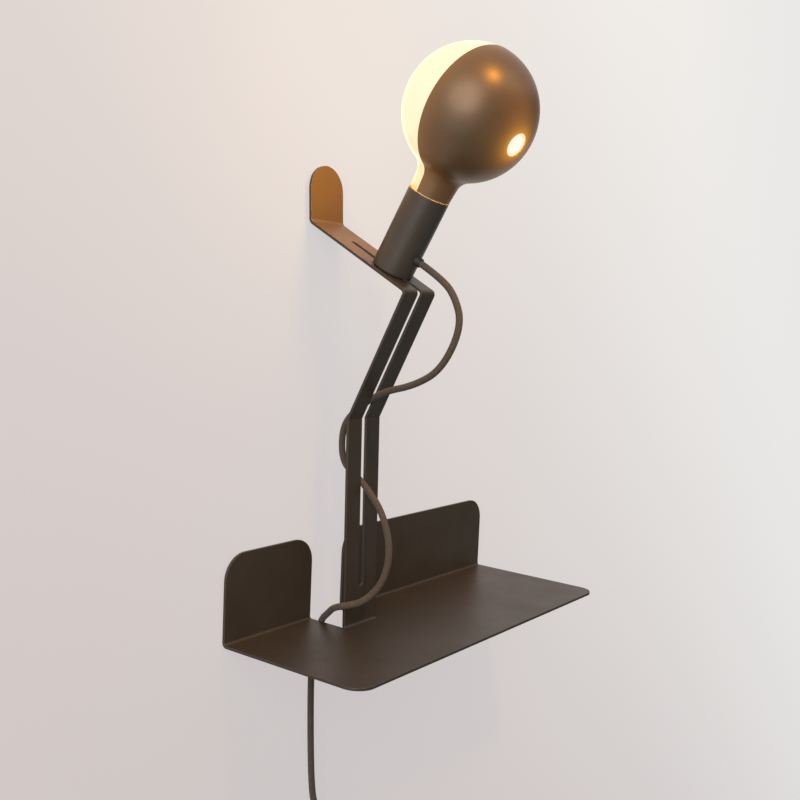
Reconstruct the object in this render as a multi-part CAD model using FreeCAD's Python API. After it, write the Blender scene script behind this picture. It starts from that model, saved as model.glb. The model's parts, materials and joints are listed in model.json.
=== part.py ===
"""Wall lamp with a shelf: one folded steel sheet carries a lampholder tube, a globe bulb with a half
shell, and a textile cord that is threaded through the sheet's slot and hangs through its notch.

Millimetres. X runs along the wall, Y = 0 is the wall and the lamp stands out towards -Y, Z is up, and
the origin is the wall screw behind the sheet's top end. Side positions are written as (out, up): out
from the wall, and up from the shelf's top where it meets its flanges.
"""
import FreeCAD, Part
import math
import os

V = FreeCAD.Vector
X_AXIS = V(1, 0, 0)
Y_AXIS = V(0, 1, 0)
Z_AXIS = V(0, 0, 1)

# Folded sheet
sheet = 2.5
fold_radius = 2.5
tab_fold_radius = 5.0
shelf_left = -145.5
shelf_right = 296.0
shelf_depth = 163.0
shelf_droop = 3.4
shelf_corner = 18.5
flange_height = 84.0
flange_lean = 3.0
flange_corner = 25.0
strip_width = 50.0
notch_depth = 44.8
strip_height = 204.7
strip_top_out = 50.96
lean_height = 121.3
lean_reach = 67.74
arm_height = 72.5
tab_length = 58.2
tab_standoff = 4.0
slot_width = 7.0
slot_from_outer_fold = 96.5
slot_bottom_up = 35.2

# Wall hanger behind the tab
screw_below_tab_top = 26.7
hanger_wall = 1.2
hanger_inset = 7.0
hanger_height = 42.0
hanger_corner = 7.0
keyhole_head = 9.0
keyhole_slot = 4.4
keyhole_drop = 14.0

# Lampholder tube, square to the arm
head_from_fold = 40.6
sliding_gap = 0.1
tube_radius = 20.7
tube_wall = 1.5
tube_base = 3.0
tube_length = 80.9
tube_edge = 2.0

# Clamp through the slot
clamp_thread = 6.0
clamp_head_radius = 5.25
clamp_head_height = 3.3
clamp_head_flat = 2.4
clamp_head_rim = 0.6
clamp_head_bulge = 0.7
clamp_key = 4.0
clamp_key_depth = 2.0
washer_radius = 9.0
washer_thickness = 1.6
stem_radius = 5.0
stem_top = 22.0
clamp_reach = 14.0
nut_across_flats = 15.0
nut_height = 3.5
close_fit = 0.05

# Socket inside the tube
socket_bottom = 15.0
socket_base_radius = 14.0
socket_flat = 9.5
socket_base_top = 38.0
socket_flange = 3.0
skirt_radius = 18.3
skirt_wall = 2.0
skirt_top = 68.0
sleeve_bottom = 43.0
sleeve_top = 66.0
sleeve_wall = 0.4
contact_thickness = 0.6
contact_width = 6.0
contact_gap = 0.2
tongue_steps = (-10.0, -6.0, -2.0, 5.0)
side_lug = 4.0
terminal_spread = 5.0
terminal_up = 31.5
terminal_radius = 2.4
terminal_head = 1.6
terminal_reach = 5.0
terminal_groove = 0.7
terminal_groove_depth = 0.8

# Bulb base, a 27 mm screw cap
cap_thread_radius = 13.1
cap_thread_depth = 0.9
cap_pitch = 3.63
cap_turns = 5
cap_bottom = 43.4
cap_thread_start = 2.5
cap_top = 68.5
cap_wall = 0.4
cap_gap = 0.3
button_radius = 4.8
button_root_radius = 4.3
button_face_radius = 3.4
button_height = 0.9
insulator_height = 3.2
cap_cone = 3.0
collar_in_neck = 4.8
collar_gap = 1.2
collar_sink = 6.0
collar_flare = 4.0
driver_width = 13.5
driver_from_cap = 1.0
driver_below_cap_top = 8.0

# Globe and half shell
globe_radius = 62.0
globe_wall = 1.2
globe_centre = 163.5
neck_radius = 19.6
neck_above_tube = 1.0
neck_flare = 4.4
neck_fillet = 15.4
shell_gap = 0.15
shell_wall = 0.8
shell_turn = -3.5
shell_edge = 0.6
peep_radius = 11.0
peep_drop = 3.0
carrier_radius = 9.0
carrier_above_collar = 2.0
carrier_taper = 15.0
carrier_post_radius = 5.4
carrier_flare = 6.0
carrier_top = 150.0
board_thickness = 1.6
board_radius = 14.0
board_overhang = 2.0

# Cord and its gland
cord_diameter = 6.4
cord_radius = cord_diameter / 2
gland_up = 22.0
gland_radius = 4.75
gland_reach = 26.0
gland_edge = 0.9
gland_shank = 4.0
gland_nut_radius = 6.2
gland_nut_thickness = 2.4
core_radius = 1.1
core_gap = 0.15
core_bend = 2.2

# Cord corners as (x, out, up), chosen by hand along its route
exit_run = 24.0
upper_route = [
    (0, 160, 320.5),
    (0, 168, 294),
    (0, 142.9, 254.3),
]
lower_route = [
    (0, 109.5, 239.5),
    (0, 75, 227),
    (0, 43.5, 221.5),
    (0, 23.5, 199.5),
    (0, 24.5, 172),
    (0, 36, 147.5),
    (0, 58, 134.5),
    (0, 78.5, 108.5),
    (0, 84.5, 75),
    (-2, 76.5, 42),
    (-12.5, 63, 25),
    (-30, 59, 20.5),
    (-39, 44, 16.5),
    (-35, 27, 13.5),
    (-14, 13.5, 6),
    (-10.5, 5.5, -22),
    (-25, 5, -48),
    (-28, 5.5, -172),
    (-28, 12.1, -196),
]
bend_share = 0.45

# In-line switch on the cord
switch_x = -28.0
switch_out = 12.1
switch_top = -212.0
switch_length = 56.0
switch_width = 27.0
switch_thickness = 19.0
switch_wall = 1.8
switch_corner = 9.0
switch_edge = 3.0
rocker_length = 19.0
rocker_width = 12.0
rocker_gap = 0.6
rocker_end_rise = 0.8
rocker_valley = 0.4
rocker_cheek = 2.6
rocker_belly = 3.2
rocker_pin_radius = 1.2
rocker_pin_depth = 3.4
rocker_swing = 8.0
lug_width = 2.4
lug_height = 6.0
lug_from_parting = 1.5
lug_overlap = 0.4
switch_screw_radius = 2.6
switch_screw_head = 1.0
switch_screw_shank = 1.3
switch_screw_length = 9.0
switch_screw_gap = 0.13
switch_screw_from_end = 9.0
switch_screw_spread = 6.5
cross_length = 3.0
cross_width = 0.7
cross_depth = 0.6
contact_post = 4.5

# Put-away coil below the switch
coil_turns = 5
coil_mid_radius = 36.0
coil_pitch = 7.1
coil_drop = 38.0
coil_back_out = 5.0
coil_front_out = switch_out
coil_reverse = 0.25
tie_width = 9.0
tie_thickness = 1.0
tie_gap = 0.35
tail_length = 62.0
tail_straight = 31.0
tail_end_run = 12.4

# Plug
plug_out = 7.6
relief_length = 22.0
relief_radius = 5.2
relief_ribs = 5
relief_taper = 0.2
relief_groove = 0.8
relief_rib_share = 0.6
plug_length = 36.0
plug_width = 35.5
plug_neck_width = 17.0
plug_shoulder = 15.1
plug_neck_round = 4.0
plug_shoulder_round = 8.0
plug_face_round = 3.0
plug_thickness = 13.6
plug_edge = 2.5
pin_radius = 2.0
pin_length = 19.0
pin_spacing = 19.0
pin_tip_round = 1.2
pin_shank_radius = 1.4
pin_sunk = 8.0

# Places worked out from the sizes
lower_fold = (strip_top_out, strip_height)
outer_fold = (strip_top_out + lean_reach, strip_height + lean_height)
upper_fold = (tab_standoff, outer_fold[1] + arm_height)
tab_top_up = upper_fold[1] + tab_length
shelf_z = screw_below_tab_top - tab_top_up
neck_bottom = sliding_gap + tube_length + neck_above_tube
collar_top = neck_bottom + collar_in_neck


def at(x, out, up):
    """A point from its place along the wall, out from the wall and up from the shelf."""
    return V(x, -out, shelf_z + up)


def unit(pair):
    """A direction in the side view, made one long."""
    length = math.hypot(pair[0], pair[1])
    return (pair[0] / length, pair[1] / length)


def toward(start, end):
    """The direction from one side point to another."""
    return unit((end[0] - start[0], end[1] - start[1]))


def front_of(direction):
    """The side-view normal that points to the sheet's front face."""
    return (direction[1], -direction[0])


def meet(p, u, q, w):
    """Where the line through p along u crosses the line through q along w."""
    cross = u[0] * w[1] - u[1] * w[0]
    along = ((q[0] - p[0]) * w[1] - (q[1] - p[1]) * w[0]) / cross
    return (p[0] + u[0] * along, p[1] + u[1] * along)


def on_shelf(out, up=0.0):
    """A side point measured along the drooping shelf and square to it."""
    droop = math.radians(shelf_droop)
    return (
        out * math.cos(droop) + up * math.sin(droop),
        up * math.cos(droop) - out * math.sin(droop),
    )


def rounded_path(points, radii):
    """Straight edges through the points, with a tangent arc of its own radius at each corner."""
    edges = []
    start = points[0]
    for i in range(1, len(points) - 1):
        corner = points[i]
        back = (points[i - 1] - corner).normalize()
        ahead = (points[i + 1] - corner).normalize()
        half_turn = (math.pi - back.getAngle(ahead)) / 2
        reach = radii[i - 1] * math.tan(half_turn)
        middle = (back + ahead).normalize()
        to_centre = radii[i - 1] / math.cos(half_turn)
        first = corner + back * reach
        last = corner + ahead * reach
        top = corner + middle * (to_centre - radii[i - 1])
        edges.append(Part.LineSegment(start, first).toShape())
        edges.append(Part.Arc(first, top, last).toShape())
        start = last
    edges.append(Part.LineSegment(start, points[-1]).toShape())
    return edges


def sheet_corners(back, offset):
    """The sheet's corners at one distance in front of its back face."""
    corners = []
    for i, point in enumerate(back):
        before = toward(back[i - 1], point) if i > 0 else toward(point, back[1])
        after = toward(point, back[i + 1]) if i < len(back) - 1 else before
        n0 = front_of(before)
        n1 = front_of(after)
        p0 = (point[0] + n0[0] * offset, point[1] + n0[1] * offset)
        p1 = (point[0] + n1[0] * offset, point[1] + n1[1] * offset)
        same = abs(before[0] * after[1] - before[1] * after[0]) < 1e-9
        corners.append(p0 if same else meet(p0, before, p1, after))
    return corners


def fold_radii(back, offset):
    """The radius of each fold at one distance in front of the sheet's back face."""
    radii = []
    for i in range(1, len(back) - 1):
        before = toward(back[i - 1], back[i])
        after = toward(back[i], back[i + 1])
        inner = tab_fold_radius if back[i] == upper_fold else fold_radius
        front_inside = before[0] * after[1] - before[1] * after[0] < 0
        radii.append(inner + sheet - offset if front_inside else inner + offset)
    return radii


def folded(back, x0, x1):
    """A folded sheet from its back face's corners, between two places along the wall."""
    front = sheet_corners(back, sheet)
    edges = rounded_path([at(x0, *p) for p in back], fold_radii(back, 0.0))
    edges += rounded_path([at(x0, *p) for p in front], fold_radii(back, sheet))
    edges.append(Part.LineSegment(at(x0, *back[0]), at(x0, *front[0])).toShape())
    edges.append(Part.LineSegment(at(x0, *back[-1]), at(x0, *front[-1])).toShape())
    wire = Part.Wire(Part.__sortEdges__(edges))
    return Part.Face(wire).extrude(V(x1 - x0, 0, 0))


def corner_cutter(x, sign, across, radius, axis_start, axis_end):
    """What is cut away outside a rounded corner: a square prism less a cylinder on its inner edge.

    x is the sheet's end, sign its side, across the unit vector from the inner edge to the other free
    edge, and the axis runs through the sheet.
    """
    along = axis_end - axis_start
    inner = V(x - sign * radius, axis_start.y, axis_start.z)
    more = radius + sheet
    square = Part.makePolygon([
        inner,
        inner + V(sign * more, 0, 0),
        inner + V(sign * more, 0, 0) + across * more,
        inner + across * more,
        inner,
    ])
    prism = Part.Face(square).extrude(along)
    return prism.cut(Part.makeCylinder(radius, along.Length, inner, along))


strip_up = toward(on_shelf(notch_depth), lower_fold)
foot_corner = meet(on_shelf(0, -sheet), toward(on_shelf(0), on_shelf(1)), on_shelf(notch_depth), strip_up)
strip_back = [
    on_shelf(shelf_depth / 2, -sheet),
    foot_corner,
    lower_fold,
    outer_fold,
    upper_fold,
    (tab_standoff, tab_top_up),
]
arm = toward(outer_fold, upper_fold)
arm_front = front_of(arm)
outer_front = sheet_corners(strip_back, sheet)[3]


def slot_cutter():
    """The long slot: it runs up the strip, round the lower and outer folds and along the arm."""
    depth = 2 * sheet
    low = (slot_bottom_up - strip_back[1][1] + slot_width / 2) / strip_up[1]
    bottom = (foot_corner[0] + strip_up[0] * low, foot_corner[1] + strip_up[1] * low)
    high = slot_from_outer_fold - slot_width / 2
    top = (outer_fold[0] + arm[0] * high, outer_fold[1] + arm[1] * high)
    line = [bottom, lower_fold, outer_fold, top]
    inner = sheet_corners(line, -depth)
    outer = sheet_corners(line, sheet + depth)
    ring = [at(-slot_width / 2, *p) for p in inner + outer[::-1]]
    cutter = Part.Face(Part.makePolygon(ring + ring[:1])).extrude(V(slot_width, 0, 0))
    for i in (0, -1):
        start = at(0, *inner[i])
        along = at(0, *outer[i]) - start
        cutter = cutter.fuse(Part.makeCylinder(slot_width / 2, along.Length, start, along))
    return cutter


def folded_bracket():
    """Shelf, two flanges, strip, arm and tab, folded from one sheet."""
    lean = math.radians(flange_lean)
    flange_top = (flange_height * math.tan(lean), flange_height)
    wall_line = toward((0, 0), flange_top)
    wall_corner = meet(on_shelf(0, -sheet), toward(on_shelf(0), on_shelf(1)), (0, 0), wall_line)
    shelf_back = [on_shelf(shelf_depth, -sheet), wall_corner, flange_top]
    body = folded(shelf_back, shelf_left, shelf_right)

    down = at(0, *on_shelf(0, -2 * sheet)) - at(0, *on_shelf(0, 2 * sheet))
    front_inner = at(0, *on_shelf(shelf_depth - shelf_corner, 2 * sheet))
    forward = (at(0, *on_shelf(1)) - at(0, *on_shelf(0))).normalize()
    top_inner = at(0, -sheet, flange_height - flange_corner)
    outward = V(0, -flange_top[0] - 3 * sheet, 0)
    half = strip_width / 2
    cuts = []
    for x, sign in ((shelf_left, -1), (shelf_right, 1)):
        cuts.append(corner_cutter(x, sign, forward, shelf_corner, front_inner, front_inner + down))
    for x, sign in ((shelf_left, -1), (-half, 1), (half, -1), (shelf_right, 1)):
        cuts.append(corner_cutter(x, sign, Z_AXIS, flange_corner, top_inner, top_inner + outward))
    notch_back = -2 * sheet
    notch_front = foot_corner[0] + fold_radius + 2 * sheet
    notch_low = -3 * sheet
    notch = Part.makeBox(
        strip_width,
        notch_front - notch_back,
        flange_height - notch_low + 2 * sheet,
        at(-half, notch_front, notch_low),
    )
    for piece in cuts + [notch]:
        body = body.cut(piece)

    strip = folded(strip_back, -half, half)
    tab_inner = at(0, tab_standoff - sheet, tab_top_up - half)
    through = V(0, -3 * sheet, 0)
    for sign in (-1, 1):
        strip = strip.cut(corner_cutter(sign * half, sign, Z_AXIS, half, tab_inner, tab_inner + through))
    strip = strip.cut(slot_cutter())
    return body.fuse(strip).removeSplitter()


def rounded_plate(width, height, corner, thickness, centre):
    """A plate against the wall, thickness outwards, with rounded corners."""
    w = width / 2
    h = height / 2
    points = [V(w, 0, -h), V(w, 0, h), V(-w, 0, h), V(-w, 0, -h)]
    middle = V(0, 0, -h)
    edges = rounded_path([middle] + points + [middle], [corner] * 4)
    face = Part.Face(Part.Wire(edges))
    face.translate(centre)
    return face.extrude(V(0, -thickness, 0))


def wall_hanger():
    """A shallow pressed box welded to the tab, with a keyhole for the wall screw's head."""
    width = strip_width - 2 * hanger_inset
    top = screw_below_tab_top - hanger_inset
    centre = V(0, 0, top - hanger_height / 2)
    inner = hanger_corner - hanger_wall
    box = rounded_plate(width, hanger_height, hanger_corner, tab_standoff, centre)
    hollow = rounded_plate(
        width - 2 * hanger_wall,
        hanger_height - 2 * hanger_wall,
        inner,
        tab_standoff,
        centre - V(0, hanger_wall, 0),
    )
    deep = 2 * hanger_wall
    back = hanger_wall / 2
    half = keyhole_slot / 2
    head = Part.makeCylinder(keyhole_head / 2, deep, V(0, back, -keyhole_drop), -Y_AXIS)
    slot = Part.makeBox(keyhole_slot, deep, keyhole_drop, V(-half, back - deep, -keyhole_drop))
    seat = Part.makeCylinder(half, deep, V(0, back, 0), -Y_AXIS)
    return box.cut(hollow).cut(head).cut(slot).cut(seat)


tilt = math.degrees(math.atan2(arm_front[0], arm_front[1]))
foot = (
    outer_front[0] + arm[0] * head_from_fold,
    outer_front[1] + arm[1] * head_from_fold,
)
head_place = FreeCAD.Placement(at(0, *foot), FreeCAD.Rotation(X_AXIS, tilt))
bulb_place = head_place.multiply(FreeCAD.Placement(V(0, 0, 0), FreeCAD.Rotation(Z_AXIS, shell_turn)))


def placed(shape, place):
    """The shape moved from the lamp head's own axes to its place."""
    moved = shape.copy()
    moved.Placement = place.multiply(moved.Placement)
    return moved


def turned(points, arcs=()):
    """A solid of revolution about Z from (radius, height) points; an arc names its middle point."""
    middles = dict(arcs)
    edges = []
    count = len(points)
    for i in range(count):
        a = V(points[i][0], 0, points[i][1])
        b = V(points[(i + 1) % count][0], 0, points[(i + 1) % count][1])
        if i in middles:
            m = V(middles[i][0], 0, middles[i][1])
            edges.append(Part.Arc(a, m, b).toShape())
        else:
            edges.append(Part.LineSegment(a, b).toShape())
    face = Part.Face(Part.Wire(edges))
    return face.revolve(V(0, 0, 0), Z_AXIS, 360)


def bulged(a, b, bulge):
    """The middle point of an arc from a to b that stands a bulge off its chord, to the right of it."""
    along = toward(a, b)
    return ((a[0] + b[0]) / 2 + along[1] * bulge, (a[1] + b[1]) / 2 - along[0] * bulge)


def ring(outer, inner, bottom, top):
    """A plain sleeve about Z."""
    return turned([(inner, bottom), (outer, bottom), (outer, top), (inner, top)])


def hexagon(across_flats, bottom, height):
    """A hexagonal prism about Z."""
    corner = across_flats / math.sqrt(3)
    angles = [math.radians(60 * i) for i in range(7)]
    points = [V(corner * math.cos(a), corner * math.sin(a), bottom) for a in angles]
    return Part.Face(Part.makePolygon(points)).extrude(V(0, 0, height))


def outward_cylinder(radius, start, end, up, x=0.0):
    """A cylinder that points out from the tube, between two distances from its axis."""
    return Part.makeCylinder(radius, end - start, V(x, -start, up), -Y_AXIS)


def lampholder_tube():
    """The open tube with its base disc, rounded bottom edge, stem hole and gland hole."""
    bottom = sliding_gap
    top = bottom + tube_length
    inner = tube_radius - tube_wall
    bow = tube_edge * (1 - math.sqrt(0.5))
    profile = [
        (stem_radius + close_fit, bottom),
        (tube_radius - tube_edge, bottom),
        (tube_radius, bottom + tube_edge),
        (tube_radius, top),
        (inner, top),
        (inner, bottom + tube_base),
        (stem_radius + close_fit, bottom + tube_base),
    ]
    cup = turned(profile, [(1, (tube_radius - bow, bottom + bow))])
    return cup.cut(outward_cylinder(gland_shank, inner / 2, tube_radius + 1, gland_up))


def threaded_stem():
    """The hollow stem that ties socket, tube and clamp screw together."""
    return ring(stem_radius, clamp_thread / 2 + close_fit, sliding_gap + close_fit, stem_top)


def stem_nut():
    """The flat nut that holds the stem down in the tube."""
    bottom = sliding_gap + tube_base
    return hexagon(nut_across_flats, bottom, nut_height).cut(
        Part.makeCylinder(stem_radius + close_fit, nut_height, V(0, 0, bottom))
    )


def clamp_screw():
    """A button-head screw from under the arm, through the slot into the stem."""
    seat = -sheet - sliding_gap - washer_thickness
    low = seat - clamp_head_height
    shank = clamp_thread / 2
    flat = (clamp_head_flat, low)
    rim = (clamp_head_radius, seat - clamp_head_rim)
    profile = [
        (0, low),
        flat,
        rim,
        (clamp_head_radius, seat),
        (shank, seat),
        (shank, clamp_reach),
        (0, clamp_reach),
    ]
    screw = turned(profile, [(1, bulged(flat, rim, clamp_head_bulge))])
    return screw.cut(hexagon(clamp_key, low, clamp_key_depth))


def clamp_washer():
    """The broad washer under the screw's head."""
    bottom = -sheet - sliding_gap - washer_thickness
    return ring(washer_radius, clamp_thread / 2 + close_fit, bottom, bottom + washer_thickness)


def cord_gland():
    """The bush that leads the cord out through the tube's side."""
    inner = tube_radius - tube_wall
    shank_end = gland_nut_face() - gland_nut_thickness
    head = outward_cylinder(gland_radius, inner, gland_reach, gland_up)
    mouth = [e for e in head.Edges if e.BoundBox.YMax < -gland_reach + gland_edge]
    head = head.makeFillet(gland_edge, mouth)
    head = head.cut(Part.makeCylinder(tube_radius, 4 * gland_radius, V(0, 0, gland_up - 2 * gland_radius)))
    shank = outward_cylinder(gland_shank, shank_end, tube_radius + 1, gland_up)
    bore = outward_cylinder(2 * core_radius + core_gap, shank_end, gland_reach, gland_up)
    return head.fuse(shank).cut(bore).removeSplitter()


def gland_nut_face():
    """How far out the gland's flat nut can sit inside the round tube."""
    inner = tube_radius - tube_wall
    return math.sqrt(inner ** 2 - gland_nut_radius ** 2)


def gland_nut():
    """The flat ring nut on the gland, inside the tube."""
    face = gland_nut_face()
    back = face - gland_nut_thickness
    nut = outward_cylinder(gland_nut_radius, back, face, gland_up)
    return nut.cut(outward_cylinder(gland_shank, back, face, gland_up))


def socket_base():
    """The insulating block on the stem, with a flat for the terminals."""
    block = turned([
        (0, socket_bottom),
        (socket_base_radius, socket_bottom),
        (socket_base_radius, socket_base_top - socket_flange),
        (skirt_radius, socket_base_top - socket_flange),
        (skirt_radius, socket_base_top),
        (0, socket_base_top),
    ])
    stem = Part.makeCylinder(stem_radius, stem_top - socket_bottom, V(0, 0, socket_bottom))
    wide = 2 * socket_base_radius
    below_flange = socket_base_top - socket_flange - socket_bottom
    flat = Part.makeBox(wide, wide, below_flange, V(-wide / 2, -wide - socket_flat, socket_bottom))
    block = block.cut(stem).cut(flat)
    for sign in (-1, 1):
        x = sign * terminal_spread
        block = block.cut(terminal_shank(x))
    return block


def terminal_shank(x):
    """A terminal screw's shank in the socket's base."""
    return outward_cylinder(terminal_radius / 2, socket_flat - terminal_reach, socket_flat, terminal_up, x)


def socket_skirt():
    """The insulating sleeve that closes the socket round the thread."""
    inner = skirt_radius - skirt_wall
    lip = thread_radius(0) + cap_gap + sleeve_wall + close_fit
    return turned([
        (inner, socket_base_top),
        (skirt_radius, socket_base_top),
        (skirt_radius, skirt_top),
        (lip, skirt_top),
        (lip, sleeve_bottom),
        (inner, sleeve_bottom),
    ])


def thread_radius(depth_share):
    """The cap's outer radius at a share of its thread's depth."""
    return cap_thread_radius - depth_share * cap_thread_depth


def thread_outline(offset):
    """The screw cap's shallow thread as crests and roots, at one offset from its surface."""
    bottom = cap_bottom + cap_thread_start
    points = [(thread_radius(1) + offset, bottom)]
    for i in range(cap_turns):
        z = bottom + i * cap_pitch
        points.append((thread_radius(0) + offset, z + cap_pitch / 2))
        points.append((thread_radius(1) + offset, z + cap_pitch))
    return points


def thread_sleeve():
    """The brass sleeve that the bulb screws into, with the cap's thread."""
    outer = thread_radius(0) + cap_gap + sleeve_wall
    points = thread_outline(cap_gap)
    inner = points[0][0]
    rim = [(inner, sleeve_top), (outer, sleeve_top), (outer, sleeve_bottom)]
    return turned([(inner, sleeve_bottom)] + points + rim)


def centre_contact():
    """The sprung tongue under the bulb's contact button."""
    button = cap_bottom - insulator_height - button_height
    w = contact_width / 2
    rise = button - contact_gap - contact_thickness - socket_base_top
    line = list(zip(tongue_steps, (0.0, 0.0, rise, rise)))
    upper = [(y, z + contact_thickness) for y, z in line]
    points = [V(-w, y, socket_base_top + z) for y, z in line + upper[::-1]]
    return Part.Face(Part.makePolygon(points + points[:1])).extrude(V(contact_width, 0, 0))


def side_contact():
    """The upright strip from the socket's base to the thread sleeve."""
    r = thread_radius(0) + cap_gap + sleeve_wall
    w = contact_width / 2
    up = sleeve_bottom - socket_base_top
    t = contact_thickness
    upright = Part.makeBox(contact_width, t, up, V(-w, r - t, socket_base_top))
    lug = Part.makeBox(contact_width, side_lug, t, V(-w, r - side_lug, socket_base_top))
    return upright.fuse(lug).removeSplitter()


def terminal_screws():
    """Two screws on the socket's flat that clamp the cord's cores."""
    screws = []
    for sign in (-1, 1):
        x = sign * terminal_spread
        face = socket_flat + terminal_head
        head = outward_cylinder(terminal_radius, socket_flat, face, terminal_up, x)
        groove = Part.makeBox(
            2 * terminal_radius,
            terminal_groove_depth,
            terminal_groove,
            V(x - terminal_radius, -face, terminal_up - terminal_groove / 2),
        )
        screws.append(terminal_shank(x).fuse(head).removeSplitter().cut(groove))
    return Part.makeCompound(screws)


def core_wires():
    """Two insulated cores from the gland's mouth to the terminals."""
    wires = []
    end = socket_flat + core_radius + core_gap
    top = terminal_up - terminal_radius - core_gap
    for sign in (-1, 1):
        x = sign * core_radius
        points = [
            V(x, -gland_reach, gland_up),
            V(x, -end - core_bend, gland_up),
            V(sign * terminal_spread, -end, top - core_bend),
            V(sign * terminal_spread, -end, top),
        ]
        radii = path_radii(points)
        wires.append(tube(rounded_path(points, radii), core_radius, points))
    return Part.makeCompound(wires)


def globe_profile(offset):
    """The globe's outline at one offset from the glass: its radius, the flared neck's foot, and the
    fillet's lower end, upper end and middle."""
    flare = math.radians(neck_flare)
    up = (math.sin(flare), math.cos(flare))
    out = (math.cos(flare), -math.sin(flare))
    big = globe_radius + offset
    fillet = neck_fillet - offset
    reach = globe_radius + neck_fillet
    start = (neck_radius + neck_fillet * out[0], neck_bottom + neck_fillet * out[1] - globe_centre)
    past = start[0] * up[0] + start[1] * up[1]
    climb = -past - math.sqrt(past ** 2 - start[0] ** 2 - start[1] ** 2 + reach ** 2)
    centre = (start[0] + up[0] * climb, start[1] + up[1] * climb + globe_centre)
    to_globe = toward(centre, (0, globe_centre))
    to_middle = unit((to_globe[0] - out[0], to_globe[1] - out[1]))
    low = (centre[0] - out[0] * fillet, centre[1] - out[1] * fillet)
    high = (centre[0] + to_globe[0] * fillet, centre[1] + to_globe[1] * fillet)
    middle = (centre[0] + to_middle[0] * fillet, centre[1] + to_middle[1] * fillet)
    return big, neck_radius + offset / out[0], low, high, middle


def globe_solid(offset, bottom):
    """A filled globe with its neck, at one offset from the glass."""
    big, neck, fillet_foot, join, fillet_middle = globe_profile(offset)
    low_angle = math.asin((join[1] - globe_centre) / big)
    mid_angle = (low_angle + math.pi / 2) / 2
    side = (big * math.cos(mid_angle), globe_centre + big * math.sin(mid_angle))
    points = [(0, bottom), (neck, bottom), fillet_foot, join, (0, globe_centre + big)]
    return turned(points, [(2, fillet_middle), (3, side)])


def globe_glass():
    """The opal glass globe, open at its neck."""
    return globe_solid(0.0, neck_bottom).cut(globe_solid(-globe_wall, neck_bottom))


def half_shell():
    """The thin shell over the outward half of the globe and neck, with its peep hole."""
    outer = globe_solid(shell_gap + shell_wall, neck_bottom)
    inner = globe_solid(shell_gap, neck_bottom)
    reach = 2 * globe_radius
    front = Part.makeBox(2 * reach, reach, 2 * reach, V(-reach, -reach - shell_edge, neck_bottom))
    peep = outward_cylinder(peep_radius, globe_radius / 2, reach, globe_centre - peep_drop)
    return outer.cut(inner).common(front).cut(peep)


def bulb_cap():
    """The bulb's screw cap with its thread."""
    points = thread_outline(0.0)
    root = points[0][0]
    inner = root - cap_wall
    edge = button_radius + cap_cone
    rim = [(root, cap_top), (inner, cap_top), (inner, cap_bottom + cap_thread_start + cap_wall)]
    return turned([(edge, cap_bottom)] + points + rim + [(edge, cap_bottom + cap_wall)])


def cap_insulator():
    """The glass cone between the cap and its contact button."""
    return turned([
        (0, cap_bottom - insulator_height),
        (button_radius, cap_bottom - insulator_height),
        (button_radius + cap_cone, cap_bottom),
        (0, cap_bottom),
    ])


def cap_contact():
    """The contact button at the bulb's end."""
    top = cap_bottom - insulator_height
    return turned([
        (0, top - button_height),
        (button_face_radius, top - button_height),
        (button_root_radius, top),
        (0, top),
    ])


def bulb_collar():
    """The plastic collar between the screw cap and the glass neck."""
    outer = tube_radius - tube_wall - collar_gap
    inner = carrier_radius
    cap = thread_radius(1) - cap_wall
    neck = globe_profile(-globe_wall)[1] - close_fit
    return turned([
        (inner, cap_top - collar_sink),
        (cap, cap_top - collar_sink),
        (cap, cap_top),
        (outer, cap_top + collar_flare),
        (outer, neck_bottom),
        (neck, neck_bottom),
        (neck, collar_top),
        (inner, collar_top),
    ])


def driver_board():
    """The bulb's driver, an upright board in the cap."""
    bottom = cap_bottom + driver_from_cap
    height = cap_top - driver_below_cap_top - bottom
    corner = V(-driver_width / 2, -board_thickness / 2, bottom)
    return Part.makeBox(driver_width, board_thickness, height, corner)


def light_carrier():
    """The post that holds the light board in the middle of the globe."""
    shoulder = collar_top + carrier_above_collar
    return turned([
        (0, cap_top - collar_sink),
        (carrier_radius, cap_top - collar_sink),
        (carrier_radius, shoulder),
        (carrier_post_radius, shoulder + carrier_taper),
        (carrier_post_radius, carrier_top - carrier_flare),
        (board_radius - board_overhang, carrier_top),
        (0, carrier_top),
    ])


def light_board():
    """The round board that carries the light sources."""
    return Part.makeCylinder(board_radius, board_thickness, V(0, 0, carrier_top))


def path_radii(points):
    """Each corner's radius, as large as its two straight runs allow."""
    radii = []
    for i in range(1, len(points) - 1):
        back = points[i - 1] - points[i]
        ahead = points[i + 1] - points[i]
        half_turn = (math.pi - back.getAngle(ahead)) / 2
        radii.append(bend_share * min(back.Length, ahead.Length) / math.tan(half_turn))
    return radii


def tube(edges, radius, points):
    """A round tube swept along a path that starts along its first two points."""
    circle = Part.Circle(points[0], points[1] - points[0], radius).toShape()
    path = Part.Wire(edges)
    return path.makePipeShell([Part.Wire(circle)], True, False)


def free_cord(name, points):
    """A free stretch of cord through hand-chosen corners, with its radii and volume printed."""
    radii = path_radii(points)
    edges = rounded_path(points, radii)
    solid = tube(edges, cord_radius, points)
    length = sum(edge.Length for edge in edges)
    expected = math.pi * cord_radius ** 2 * length
    print(name, "length %.1f" % length, "radii", " ".join("%.0f" % r for r in radii))
    print(name, "volume %.5f of section times length" % (solid.Volume / expected))
    return solid, length


head_exit = head_place.multVec(V(0, -gland_reach, gland_up))
first_corner = head_place.multVec(V(0, -gland_reach - exit_run, gland_up))
upper_points = [head_exit, first_corner] + [at(*p) for p in upper_route]
cord_split = (upper_points[-1] + upper_points[-2]) * 0.5
switch_entry = at(switch_x, switch_out, switch_top)


def cord_upper():
    """The cord's first stretch, which moves with the lamp head."""
    return free_cord("cord_upper", upper_points[:-1] + [cord_split])


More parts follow.
